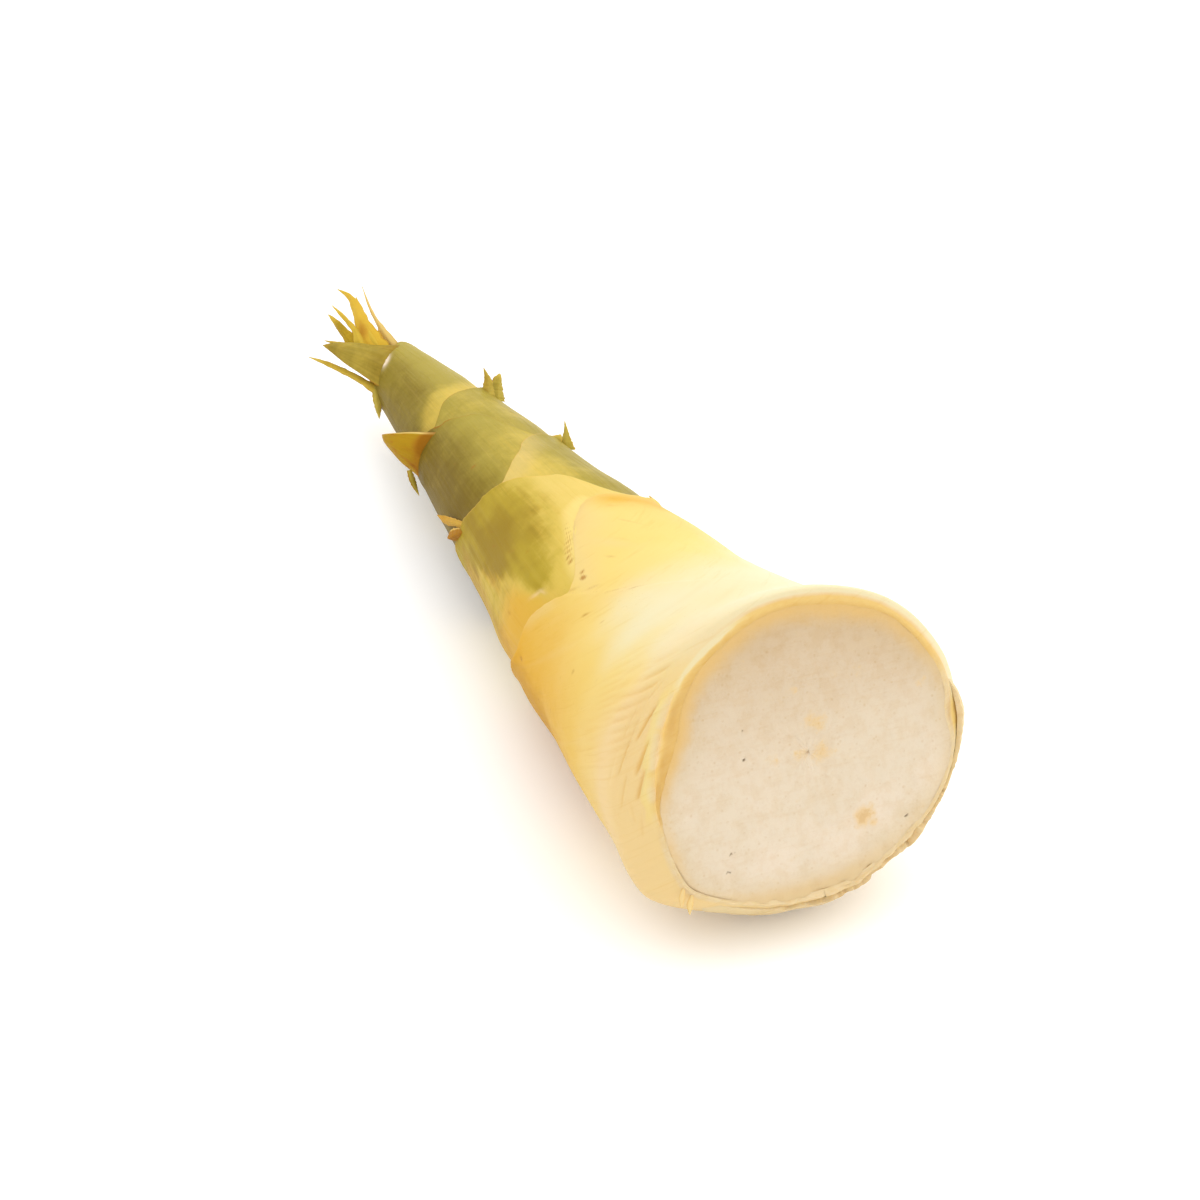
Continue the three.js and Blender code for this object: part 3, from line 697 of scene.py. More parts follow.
# Grooves behind the rolled edge: (angle, reach) at both ends, and the depth.
GASHES = (((57, 1.7), (71, 3.5), 0.7), ((69, 0.9), (83, 2.5), 0.85), ((80, 0.9), (92, 2.2), 0.85),
          ((62, 4.6), (74, 5.4), 0.35), ((92, 3.4), (101, 3.0), 0.3), ((58, 6.6), (71, 7.6), 0.35),
          ((70, 5.2), (83, 6.6), 0.5), ((82, 4.2), (95, 5.6), 0.4), ((48, 3.0), (58, 4.8), 0.3),
          ((95, 1.6), (106, 2.6), 0.35), ((74, 8.4), (86, 10.0), 0.25))
GASH_WIDTH = 0.42
# Depth of the deepest groove and height of the roll, as a share of the folds' depth.
GASH_HEIGHT = 0.55
ROLL_HEIGHT = 0.5


def fold_field(reach, angle):
    """The rolled edge beside the cut, above zero, and the slanting grooves behind it, below zero."""
    wander = 0.25 * patches(37, 26, 40, reach, angle)
    folds = np.zeros_like(reach)
    for start, end, strength in GASHES:
        share = (angle - start[0]) / (end[0] - start[0])
        at = lerp(start[1], end[1], np.clip(share, 0, 1)) + wander
        groove = np.exp(-((reach - at) / GASH_WIDTH) ** 2) * within(share, -0.15, 0.2, 0.8, 1.15)
        folds = np.maximum(folds, strength * groove)
    knots = 1 + 0.35 * patches(60, 60, 40, reach, angle)
    roll = ROLL_HEIGHT * np.exp(-((reach - 0.6) / 1.1) ** 2) * rolled_edge(angle)
    return roll * knots - GASH_HEIGHT * folds


# Line where the outermost sheath laps over itself: angle and reach.
LAP = ((-30, 8), (-20, 20), (0, 38), (22, 57), (34, 70), (42, 79), (60, 96))


def crease_field(reach, angle):
    """Height past the line where the outermost sheath laps over itself, in mm, and the line's strength."""
    return cubic(LAP, angle) - reach, within(angle, -25, 25, 46, 60)


def outward_relief(index, reach, angle, sizes):
    """Shape of a sheath's outer surface, in mm outward."""
    rib = sizes.rib / MM
    if index:
        hidden_by = np.max([margin(above, angle) for above in SHEATHS[:index]], axis=0)
        shown = step(reach - hidden_by, 0.5, 4)
        ribs = np.sin(64 * np.radians(angle) + 1.5 * patches(31 + index, 12, 20, reach, angle)) * 0.4
        ribs = ribs + patches(41 + index, 90, 30, reach, angle)
        dents = 0.15 * patches(51 + index, 9, 13, reach, angle)
        return shown * (rib * ribs + dents)
    wrinkles = -sizes.wrinkle / MM * wrinkle_field(reach, angle)
    ribs = 0.6 * rib * patches(34, 120, 26, reach, angle)
    dents = 0.25 * patches(35, 8, 17, reach, angle) + 0.1 * patches(36, 20, 8, reach, angle)
    beyond, strength = crease_field(reach, angle)
    lap = sizes.crease / MM * step(beyond, -0.5, 0.5) * np.exp(-np.maximum(beyond, 0) / 14) * strength
    risen = SLIT["sink"] * slit(angle, SLIT["half"]) * fade(reach / SLIT["run"])
    lifted = (SLIT["lift"] + 0.4 * np.exp(-(reach - 1.6) ** 2)) * slit(angle, SLIT["flap"])
    lifted = lifted * step(reach, 20, 9)
    slit_floor = risen * step(reach, 0.2, 1.7) + lifted * step(reach, -0.8, 0.6)
    return wrinkles + ribs + dents + lap + slit_floor + sizes.fold / MM * fold_field(reach, angle)


def wrap_rows(index, angle, sizes):
    """Rows of (reach, inset) of a closed wrap: foot to margin outside, round the lip and back inside."""
    sheath = SHEATHS[index]
    gap = sizes.layer_gap / MM
    top = margin(sheath, angle)
    lip = ring(sheath["lip"], angle)
    end = top - lip / 2
    start = outer_start(index, angle)
    rows = []
    if index == 0:
        hidden = [0 * angle + reach for reach in FOOT_ROWS]
    else:
        hidden = [lerp(sheath["node"], start, i / HIDDEN_ROWS) for i in range(HIDDEN_ROWS)]
    shown = [lerp(start, end, i / sheath["rows"]) for i in range(sheath["rows"] + 1)]

    def lifted(reach):
        return ring(sheath["lift"], angle) * np.clip(1 - (top - reach) / LIFT_RUN, 0, 1) ** 2

    def layer_depth(reach):
        return depth(index, reach, angle, gap) - lifted(reach)

    for reach in hidden + shown:
        rows.append((reach, layer_depth(reach) - outward_relief(index, reach, angle, sizes)))
    relief_at_lip = outward_relief(index, end, angle, sizes)
    for turn in np.radians(LIP_TURNS):
        reach = end + lip / 2 * math.sin(turn)
        side = (1 - math.cos(turn)) / 2
        rows.append((reach, layer_depth(end) - lerp(relief_at_lip, 0, side) + lip * side))
    foot = 0 * angle + (sheath["node"] if index else 0.5)
    for i in range(INNER_ROWS + 1):
        reach = lerp(end, foot, (i / INNER_ROWS) ** 0.8)
        rows.append((reach, layer_depth(reach) + wall(sheath, reach, angle)))
    return rows


BEAD_HEIGHT = 0.8  # how far the rolled edge stands out of the cut
# Rows over the cut wall, as a share of its thickness from the outside.
CUT_SHARES = (1.0, 0.92, 0.84, 0.76, 0.68, 0.6, 0.52, 0.44, 0.36, 0.28, 0.2, 0.13, 0.07)


def rolled_edge(angle):
    """Where the outermost sheath's foot is rolled over toward the cut, 0 to 1."""
    return within(angle, 44, 60, 92, 112)


def cut_wall(angle, sizes):
    """Reach, points and masks of the outermost sheath's cut wall, in rows from inside to outside."""
    share, around = np.meshgrid(CUT_SHARES, angle, indexing="ij")
    zero = np.zeros_like(share)
    rolled = rolled_edge(around)
    torn = step(np.abs(around), 128, 160) + 0.7 * step(around, -88, -104)
    bead = fade(share / 0.36) - 0.25 * np.exp(-((share - 0.5) / 0.16) ** 2)
    knots = 0.3 * patches(60, 60, 40, zero, around) + 0.25 * patches(68, 120, 40, zero, around)
    roll = BEAD_HEIGHT * bead * rolled * (1 + knots)
    uneven = 0.08 * patches(62, 110, 0.2, share, around)
    shreds = torn * (0.35 + 0.4 * patches(63, 110, 0.3, share, around)) * fade(share)
    recess = 0.3 * slit(around, SLIT["half"])
    rounding = 0.3 * step(share, 0.25, 0) * (1 - np.clip(torn, 0, 1)) * (1 - rolled)
    reach = -roll - uneven - shreds + recess * (1 - share) + rounding
    inset = depth(0, zero, around, sizes.layer_gap / MM) + share * ring(CUT_WALL, around)
    place = skin(np.maximum(reach, 0), around, inset)
    place[..., 0] += np.minimum(reach, 0)
    return reach, place, cut_paint(share, around)


def cut_paint(share, angle):
    """Masks of the cut wall: golden toward the flesh, pale on its rolled edge."""
    zero = np.zeros_like(share)
    rolled = rolled_edge(angle)
    blurred = share + 0.14 * patches(64, 60, 0.3, zero, angle) + 0.1 * patches(66, 140, 0.4, share, angle)
    rounded = within(angle, 8, 28, 46, 60) * step(blurred, 0.66, 0.3)
    golden = step(share, 0.25, 0.9) * np.maximum(0.85, rolled)
    dark_side = 0.14 + 0.12 * patches(67, 50, 0.3, share, angle)
    return {
        "deep": golden * step(np.abs(angle), 112, 98) * step(angle, -75, -55),
        "pale": np.maximum(rolled * step(blurred, 0.31, 0.03), 0.8 * rounded),
        "young": zero,
        "tan": np.clip(step(angle, -58, -80) + step(angle, 96, 112), 0, 1),
        "mark": dark_side * rolled * step(blurred, 0.2, 0.5)
        + 0.3 * slit(angle, SLIT["half"]) * step(share, 0.7, 0.1),
        "groove": zero,
        "cut": 1 - 0.8 * rounded,
        "edge": zero + 1,
    }


# ---- Masks of the sheaths ------------------------------------------------------------------------------

MASKS = ("deep", "pale", "young", "tan", "mark", "groove", "cut")
EDGE_SHOWN = 10  # distance from a margin, in mm, over which the edge mask goes from 0 to 1


def edge_mask(distance):
    """0 at a margin, 1 where it is far."""
    return np.clip(distance, 0, EDGE_SHOWN) / EDGE_SHOWN


class Places:
    """Points of a sheath's skin, how far below its margin they are, and soft random values there."""

    def __init__(self, index, reach, angle):
        self.reach = reach
        self.angle = angle
        self.below = margin(SHEATHS[index], angle) - reach
        self.soft = patches(71 + index, 14, 9, reach, angle)
        self.softer = patches(81 + index, 7, 22, reach, angle)
        self.fine = patches(101 + index, 40, 4, reach, angle)


def paint_outermost(at):
    """Cream at the foot and upper side, golden low on the left, with slanting furrows."""
    reach, angle, below = at.reach, at.angle, at.below
    soft, softer = at.soft, at.softer
    along = np.clip((reach + 5 * soft - 6) / 84, 0, 1.2) ** 0.75
    golden = along * (0.04 + 0.9 * step(angle + 5 * softer, 8, 92)) * step(angle, 190, 150)
    near_top = (0.38 * blot(reach, angle, -13, 118, 7, 4, 6) + 0.5 * blot(reach, angle, -42, 115, 12, 8, 0)
                + 0.12 * step(below, 16, 0) * within(angle, -60, -30, 10, 34))
    upper = 0.2 * step(reach + 5 * soft, 74, 100) * step(angle, 34, 14)
    deep = np.clip(golden + near_top + upper, 0, 1)

    lit = step(angle + 8 * soft, 72, 16) * lerp(0.45, 1, step(angle, -120, -45))
    pale = np.clip(step(reach + 8 * softer, 92, 30) * lit
                   + 0.4 * step(angle, -16, -44) * step(reach, 110, 84), 0, 1)
    # A pale band along the margin at the notch: a painted highlight.
    painted_highlight_rim = 0.3 * step(below, 9, 0) * within(angle, 44, 54, 66, 80)
    warm = 0.32 * blot(reach, angle, 8, 27, 17, 12, 0)
    pale = np.clip(np.maximum(pale, painted_highlight_rim) - warm, 0, 1)

    low = step(reach + 5 * soft, 44, 6) * step(angle, 40, 72)
    underneath = step(np.abs(angle), 110, 150) * step(reach + 6 * soft, 60, 10)
    beside_cut = 0.5 * step(reach + 3 * soft, 34, 6) * step(angle, 8, 34) + 0.12 * step(reach, 4, 0)
    bead = step(reach + 0.5 * patches(64, 60, 20, reach, angle), 2.4, 1.0) * rolled_edge(angle)
    mottling = 0.35 * step(patches(65, 50, 3.5, reach, angle), 0.1, 0.8)
    mottling = mottling * step(reach, 30, 8) * step(angle, 84, 104)
    near_margin = 0.42 * step(below + 4 * soft, 30, 3) * within(angle, -6, 12, 32, 42)
    stain = 0.4 * blot(reach, angle, 24.5, 60, 6, 2.5, 25) + 0.3 * blot(reach, angle, 12, 88, 7, 2, 60)
    tan = np.clip((low + beside_cut + underneath) * (1 - 0.85 * bead) + mottling * (1 - bead)
                  + near_margin + stain, 0, 1)

    beyond, strength = crease_field(reach, angle)
    line = np.exp(-((beyond + 0.3) / 0.7) ** 2) * strength * (0.15 + 0.2 * step(angle, 10, 40))
    in_slit = slit(angle, SLIT["flap"]) * step(reach, 6, 2)
    top_rim = within(angle, -78, -56, 8, 36)
    # The groove mask paints shade into the slanting wrinkles and the grooves behind the rolled edge.
    painted_furrow_shade = np.maximum(0.62 * wrinkle_field(reach, angle), step(-fold_field(reach, angle), 0.06, 0.4))
    return {
        "deep": lerp(deep, 0.45, in_slit),
        "pale": np.maximum(pale, 0.4 * bead) * (1 - in_slit),
        "young": step(angle + 7 * softer, 74, 108) * step(reach + 6 * soft, 34, 84)
        * step(angle, 200, 160),
        "tan": lerp(tan, 0.35, in_slit),
        "mark": np.maximum(blots(OUTER_MARKS, reach, angle), line) * (1 - in_slit),
        "groove": np.clip(painted_furrow_shade, 0, 1),
        "cut": np.clip(step(reach, 1.9, 0.3) + 0.12 * step(reach, 6, 2.5), 0, 1) * top_rim,
        "edge": np.maximum(edge_mask(below), within(angle, -62, -50, 26, 32)),
    }


# Where the second sheath's green patch ends on the right, (reach, angle), and low down, (angle, reach).
GREEN_RIGHT = ((84, 50), (90, 43), (96, 36), (105, 34), (112, 30), (122, 26), (131, 22), (139, 21),
               (150, 26))
GREEN_LOW = ((40, 84), (52, 92), (58, 102), (70, 117), (89, 138), (101, 150), (130, 152))


def paint_second(at):
    """Straw and ochre, with one big green patch on the left of its top."""
    reach, angle, below = at.reach, at.angle, at.below
    soft, softer, fine = at.soft, at.softer, at.fine
    streaks = patches(111, 110, 13, reach, angle)
    blur = 3 * soft + 2.5 * fine + 3 * streaks
    green = step(angle - cubic(GREEN_RIGHT, reach) + blur, -17, 20)
    green = green * step(reach - cubic(GREEN_LOW, angle) + blur, -10, 15)
    far_side = step(angle, -40, -90) + step(angle, 120, 170)
    green = green + 0.7 * far_side * step(reach + 8 * softer, 100, 130)
    beyond = reach - margin(SHEATHS[0], angle)
    hint = 0.45 * step(angle + 3 * fine, 2, 26) * step(beyond + 2 * soft, 4, 22)

    core = blot(reach, angle, 60, 128, 14, 15, 60) + 0.8 * blot(reach, angle, 66, 150, 8, 14, 0)
    uneven = np.clip(core + 0.25 * streaks + 0.2 * fine, 0, 1)
    low_left = step(angle + 6 * softer, 40, 74) * step(angle, 178, 140) * step(reach, 124, 100)
    elsewhere = np.maximum(low_left, 0.2 * step(angle, 34, 8))

    next_to_first = 0.9 * step(beyond + 3 * soft, 16, 0) * within(angle, -10, 6, 30, 44)
    # The scar mark is a pale patch on a small curl: partly pale torn skin, partly a painted highlight.
    scar = blot(reach, angle, 55, 94.5, 2.6, 0.6, 35) + 0.8 * blot(reach, angle, 51.5, 92, 1.6, 0.5, 80)
    stub = 0.9 * blot(reach, angle, 101, 170, 2.6, 3.4, 0)
    line = 0.5 * np.exp(-((below - 1.2) / 0.5) ** 2) * step(angle, 62, 74)
    left_edge = 0.5 * within(angle, 76, 94, 112, 134) * within(reach, 90, 106, 152, 168)
    marks = (blots(SECOND_MARKS, reach, angle), stub, line, left_edge)
    return {
        "deep": np.clip(lerp(elsewhere, uneven, np.clip(1.6 * green, 0, 1)), 0, 1),
        "pale": np.maximum(0.5 * within(angle, -60, -20, 10, 30), next_to_first),
        "young": np.clip(np.maximum(green, hint), 0, 1),
        "tan": np.clip(0.8 * scar, 0, 1),
        "mark": np.clip(np.max(marks, axis=0), 0, 1),
        "edge": np.maximum(edge_mask(below), within(angle, -40, -30, -6, 6)),
    }


def paint_third(at):
    """Yellow in front, greener to both sides."""
    angle, below, soft = at.angle, at.below, at.soft
    green = step(angle + 5 * soft, 14, -26) + step(angle + 5 * soft, 60, 110)
    return {
        "deep": 0.3 * step(angle, 0, -26),
        "pale": 0.3 * within(angle, -10, 8, 12, 30),
        "young": np.clip(0.32 + 0.62 * green, 0, 1),
        "tan": 0.3 * step(below, 16, 4) * within(angle, -24, -8, 30, 60),
    }


def paint_fourth(at):
    """Green, darker to the left partly as painted shade, with a torn dry line beside its blade."""
    reach, angle, below = at.reach, at.angle, at.below
    soft, softer, fine = at.soft, at.softer, at.fine
    # Lighter right, darker left: partly the sheath's own green, partly painted light and shade.
    light = step(angle + 8 * soft, 40, 0) * step(reach, 200, 168)
    torn_line = 1.1 * step(below + 0.5 * fine, 1.5, 0.3) * within(angle, 26, 31, 44, 48)
    spots = (blot(reach, angle, 40, 172, 1.2, 0.7, 0), 0.5 * blot(reach, angle, 50, 182, 0.8, 0.6, 0))
    return {
        "deep": np.clip(0.95 * step(angle + 4 * softer, 2, 72), 0, 1),
        "young": np.clip(0.95 - 0.5 * light, 0, 1),
        "mark": np.max((*spots, torn_line), axis=0),
    }


def paint_fifth(at):
    """Light green, a little darker at the sides."""
    angle, soft = at.angle, at.soft
    return {
        "deep": 0.14 + 0.16 * step(angle, 14, 50) + 0.2 * step(angle, -10, -40),
        "young": np.clip(0.8 + 0.15 * soft, 0, 1),
    }


def paint_sixth(at):
    """Dark green, darker left partly as painted shade, a yellow base band and a pale scar by its blade."""
    reach, angle, soft, softer = at.reach, at.angle, at.soft, at.softer
    base_band = step(reach - ring(SHEATHS[4]["margin"], angle) + 3 * soft, 17, 1)
    # Darker to the left: partly the sheath's own dark green, partly painted shade.
    dark_side = 0.58 * step(angle + 4 * softer, -6, 38) + 0.2 * step(angle, 44, 90)
    return {
        "deep": np.clip(dark_side * (1 - 0.6 * base_band), 0, 1),
        "young": np.clip(1 - 0.68 * base_band, 0, 1),
        "tan": np.clip(2.2 * blot(reach, angle, 36, 266.8, 2.6, 1.3, -58), 0, 1.15),
    }


SHEATH_PAINTS = (paint_outermost, paint_second, paint_third, paint_fourth, paint_fifth, paint_sixth)


def sheath_paint(index, reach, angle):
    """Masks that place a sheath's colours, each 0 to 1."""
    at = Places(index, reach, angle)
    paint = dict.fromkeys(MASKS, np.zeros_like(reach))
    paint["edge"] = edge_mask(at.below)
    paint.update(SHEATH_PAINTS[index](at))
    return paint


def slanting_grain(place, reach, angle):
    """Coordinates that run across the outermost sheath's slanting fibres in mm."""
    across = place @ FIBRE_NORMAL + 0.8 * patches(38, 14, 19, reach, angle)
    turn = np.radians(angle)
    return np.stack((across, 3 * np.cos(turn), 3 * np.sin(turn)), axis=-1)


def make_sheath(index, sizes):
    """The wrap of one sheath, with its blades and torn strips."""
    sheath = SHEATHS[index]
    angle = np.linspace(-180, 180, sheath["columns"] + 1)
    reach, inset = np.array(wrap_rows(index, angle, sizes)).swapaxes(0, 1)
    around = angle + 0 * reach
    place = skin(reach, around, inset)
    paint = sheath_paint(index, reach, around)
    if index == 0:
        cut_reach, cut_place, cut_masks = cut_wall(angle, sizes)
        reach = np.concatenate((reach, cut_reach))
        place = np.concatenate((place, cut_place))
        paint = {key: np.concatenate((paint[key], cut_masks[key])) for key in paint}
    reach, place = closed(reach), closed(place)
    around = angle + 0 * reach
    paint = {key: closed(values) for key, values in paint.items()}
    if index == 0:
        paint["grain"] = slanting_grain(place, reach, around)
    else:
        paint["grain"] = surface_grain(reach, around, 25)
    piece = grid_piece(sheath["name"] + "_wrap", place, paint)
    blades = [make_blade(spec, number, sizes) for number, spec in enumerate(BLADES)
              if spec["sheath"] == index + 1]
    strips = [make_strip(f"margin_strip_{number}", spec, 20 + number)
              for number, spec in enumerate(MARGIN_STRIPS) if spec["sheath"] == index + 1]
    return join([piece, *blades, *strips])


# ---- Blades and leaves ---------------------------------------------------------------------------------

BLADE_ROWS, BLADE_COLUMNS = 44, 29
STRIP_COLUMNS = 17


def both_sides(front, back):
    """Values for the two sides of a sheet, out on one and back on the other."""
    return np.concatenate((front, back[:, -2::-1]), axis=1)


def body_share(a, b, rounding, tip):
    """Share of its full thickness that a blade or leaf has: less toward its edges, root and tip."""
    root_and_tip = np.minimum(1, 8 * b) ** 0.5 * np.clip((1 - b) * tip, 0, 1) ** 0.5
    return (4 * a * (1 - a)) ** rounding * root_and_tip


def strip_paint(a, b, width, spec, seed):
    """Masks for a blade or leaf: a across it and b along it."""
    zero = 0 * a
    # The hinge mark at a blade's root, where it folds out of its sheath: partly brown, partly painted
    # shade.
    brown_and_shaded_hinge = spec.get("brown_and_shaded_hinge", 0) * step(b, 0.34, 0) * within(a, 0, 0.1, 0.1, 0.66)
    at, strength = spec.get("spot", (0, 0))
    spot = strength * np.exp(-((b - at) / 0.1) ** 2 - ((a - 0.45) / 0.3) ** 2)
    brim = spec.get("brim", 0) * step(a, 0.09, 0.03) + spec.get("upper_brim", 0) * step(a, 0.82, 0.92)
    spots = np.clip(patches(110, 14, 0.11, b, 300 * a) + 0.2, 0, 1) + step(b, 0.24, 0)
    marks = brown_and_shaded_hinge + spot + spec.get("spots", 0) * spots + spec.get("dry", 0) * (1 - brim)
    return {
        "edge": edge_mask(np.minimum(a, 1 - a) * width),
        "young": np.clip(spec["young"] * (1 - 0.5 * step(b, 0.7, 1)) + zero, 0, 1),
        "deep": np.clip(spec["deep"] * (0.75 + 0.5 * np.sin(3 * b + seed) * (1 - b)), 0, 1),
        "pale": np.maximum(spec.get("pale", 0) + zero, brim),
        "tan": spec.get("tan", 0) + zero,
        "mark": np.clip(marks, 0, 1.3),
        "cut": zero,
        "groove": zero,
        "grain": np.stack((a * width * 1.2, 2 + zero, b * 1.2 + seed), axis=-1),
    }


def make_blade(spec, number, sizes):
    """A pointed blade drawn out from a margin."""
    index = spec["sheath"] - 1
    sheath = SHEATHS[index]
    a, b = np.meshgrid(np.linspace(0, 1, BLADE_COLUMNS), np.linspace(0, 1, BLADE_ROWS))
    angle = lerp(spec["from"][0], spec["to"][0], a)
    reach = lerp(spec["from"][1], spec["to"][1], a)
    lip = ring(sheath["lip"], angle)
    root = skin(reach, angle, depth(index, reach, angle, sizes.layer_gap / MM) + lip / 2)
    tip = np.array(spec["tip"], float)
    middle = root + (tip - root) * b[..., None]
    middle = middle + np.array(spec["bow"]) * (4 * b * (1 - b))[..., None]
    axis = tip - root[0].mean(axis=0)
    side = root[0, -1] - root[0, 0]
    normal = np.cross(side, axis)
    normal /= np.linalg.norm(normal)
    fold = spec["cup"] * np.cos(math.tau * a) * np.sin(math.pi * np.minimum(b * 1.2, 1)) * (1 - b)
    flutter = 0.3 * np.sin(b * 13 + number) * (1 - b) * (2 * a - 1)
    veins = 0.05 * np.sin(a * 55) * (1 - b)
    middle = middle + normal * (0.5 * fold + flutter + veins)[..., None]
    full = body_share(a, b, 0.4, 6)
    paint = strip_paint(a, b, np.linalg.norm(side), spec, 3.1 * number)
    paint = {key: both_sides(values, values) for key, values in paint.items()}
    return grid_piece(f"blade_{number + 1}", sheet_grid(middle, spec["thickness"] * full), paint)


SHOWN_SIDE = np.array((-0.774, 0.343, 0.532))  # the way most blades and leaves turn their broad side


def make_strip(name, spec, number):
    """A narrow leaf or torn strip along a bent path, folded along its middle."""
    rows = np.array(spec["rows"], float)
    knots = np.concatenate(([0], np.cumsum(np.linalg.norm(np.diff(rows[:, :3], axis=0), axis=-1))))
    along_rows = 14 + 9 * len(rows)
    t = np.linspace(0, knots[-1], along_rows)
    x, y, z, width = [cubic(np.stack((knots, rows[:, k]), axis=-1), t) for k in range(4)]
    path = np.stack((x, y, z), axis=-1)
    along = np.gradient(path, axis=0)
    along /= np.linalg.norm(along, axis=-1, keepdims=True)
    across = np.cross(along, SHOWN_SIDE)
    across /= np.linalg.norm(across, axis=-1, keepdims=True)
    out = np.cross(across, along)
    turn = math.radians(spec["twist"]) * np.linspace(0.6, 1.3, along_rows)[:, None]
    across, out = (across * np.cos(turn) + out * np.sin(turn), out * np.cos(turn) - across * np.sin(turn))
    a, b = np.meshgrid(np.linspace(0, 1, STRIP_COLUMNS), t / knots[-1])
    off_middle = 2 * a - 1
    dice = np.random.default_rng(200 + number)
    nibbled = 1 + 0.05 * np.sin(b * 37 + number) + 0.04 * np.sin(b * 61 + 2 * number)
    half = np.maximum(width, 0.05)[:, None] * nibbled / 2
    rise = spec["fold"] * half * 2 * (0.5 - np.abs(off_middle))
    flutter = 0.05 * half * np.sin(b * 21 + dice.uniform(0, 6)) * off_middle
    middle = (path[:, None] + across[:, None] * (half * off_middle)[..., None]
              + out[:, None] * (rise + flutter)[..., None])
    full = body_share(a, b, 0.5, 10)
    thickness = np.minimum(LEAF_THICKNESS, 0.3 * np.maximum(width, 0.3))[:, None] * full
    paint = strip_paint(a, b, rows[:, 3].max(), spec, 5.3 * number)
    paint = {key: both_sides(values, values) for key, values in paint.items()}
    return grid_piece(name, sheet_grid(middle, thickness), paint)


# ---- Torn collar ---------------------------------------------------------------------------------------

COLLAR_ROWS, COLLAR_COLUMNS = 300, 40


def make_collar():
    """Torn remnant of a lower sheath round the underside of the cut end, with a flap that stands off."""
    a, b = np.meshgrid(np.linspace(0, 1, COLLAR_COLUMNS), np.linspace(0, 1, COLLAR_ROWS))
    angle = lerp(COLLAR["from"] - 2, COLLAR["to"] + 9, b)
    zero = 0 * angle
    ends = np.minimum(b, 1 - b)
    fray = patches(91, 90, 3, zero, angle) + 0.6 * patches(92, 240, 3, zero, angle)
    below = within(angle, 150, 165, 240, 262)
    flap = slit(angle, SLIT["flap"])
    front = 0.7 - 0.7 * flap + (0.15 + 0.6 * below) * fray * step(ends, 0, 0.04)
    back = COLLAR["length"] - 4 + 2.5 * patches(93, 40, 3, zero, angle)
    back = 1.5 + (back - 1.5) * step(ends, -0.02, 0.14)
    reach = lerp(front, back, a**1.3)
    lift = SLIT["lift"] * flap * step(a, 0.85, 0)
    fibres = patches(94, 300, 6, reach, angle)
    fibre = 0.16 * fibres * (1 - 0.5 * a)
    chipped = 0.7 * step(patches(97, 44, 30, reach, angle), -0.12, 0.12)
    chipped = chipped * within(angle, 176, 190, 216, 238)
    bulge = below * (0.3 * patches(95, 30, 8, reach, angle) + 0.2 * patches(96, 70, 5, reach, angle)
                     + chipped - 0.8 * step(angle, 186, 204))
    full_wall = cubic(COLLAR_WALL, angle)
    tapered = step(b, -0.004, 0.1) * step(1 - b, -0.004, 0.05)
    thickness = lerp(full_wall, SLIT["flap_wall"], flap * step(a, 0.9, 0.3)) * tapered + 0.05
    thickness = thickness + np.maximum(fibre + bulge, -0.5 * thickness)
    middle = skin(np.maximum(reach, 0), angle, full_wall - thickness / 2 - lift)
    middle[..., 0] += np.minimum(reach, 0)
    full = np.minimum(1, np.minimum(a / 0.03, (1 - a) / 0.5)) ** 0.5
    paint = strip_paint(a, b, COLLAR["length"], {"young": 0, "deep": 0}, 7)
    # The groove mask paints shade into the dips between the fibres.
    paint.update(grain=surface_grain(reach, angle, 20), edge=zero + 1, tan=zero + 1,
                 cut=step(a, 0.12, 0.02), groove=0.35 * step(fibres, -0.1, -0.8))
    inside = {**paint, "cut": flap * step(a, 0.4, 0.1)}
    paint = {key: both_sides(paint[key], inside[key]) for key in paint}
    return grid_piece("torn_collar", sheet_grid(middle, thickness * full), paint)


# ---- Finishes ------------------------------------------------------------------------------------------


class Signal:
    """A number that varies over a surface. Python's operators on it add Math nodes."""

    def __init__(self, finish, socket):
        self.finish = finish
        self.socket = socket

    def math(self, operation, first, second):
        made = self.finish.node("ShaderNodeMath", {"operation": operation}, {0: first, 1: second})
        return Signal(self.finish, made.outputs[0])

    def __add__(self, other):
        return self.math("ADD", self, other)

    def __sub__(self, other):
        return self.math("SUBTRACT", self, other)

    def __rsub__(self, other):
        return self.math("SUBTRACT", other, self)

    def __mul__(self, other):
        return self.math("MULTIPLY", self, other)

    __radd__ = __add__
    __rmul__ = __mul__


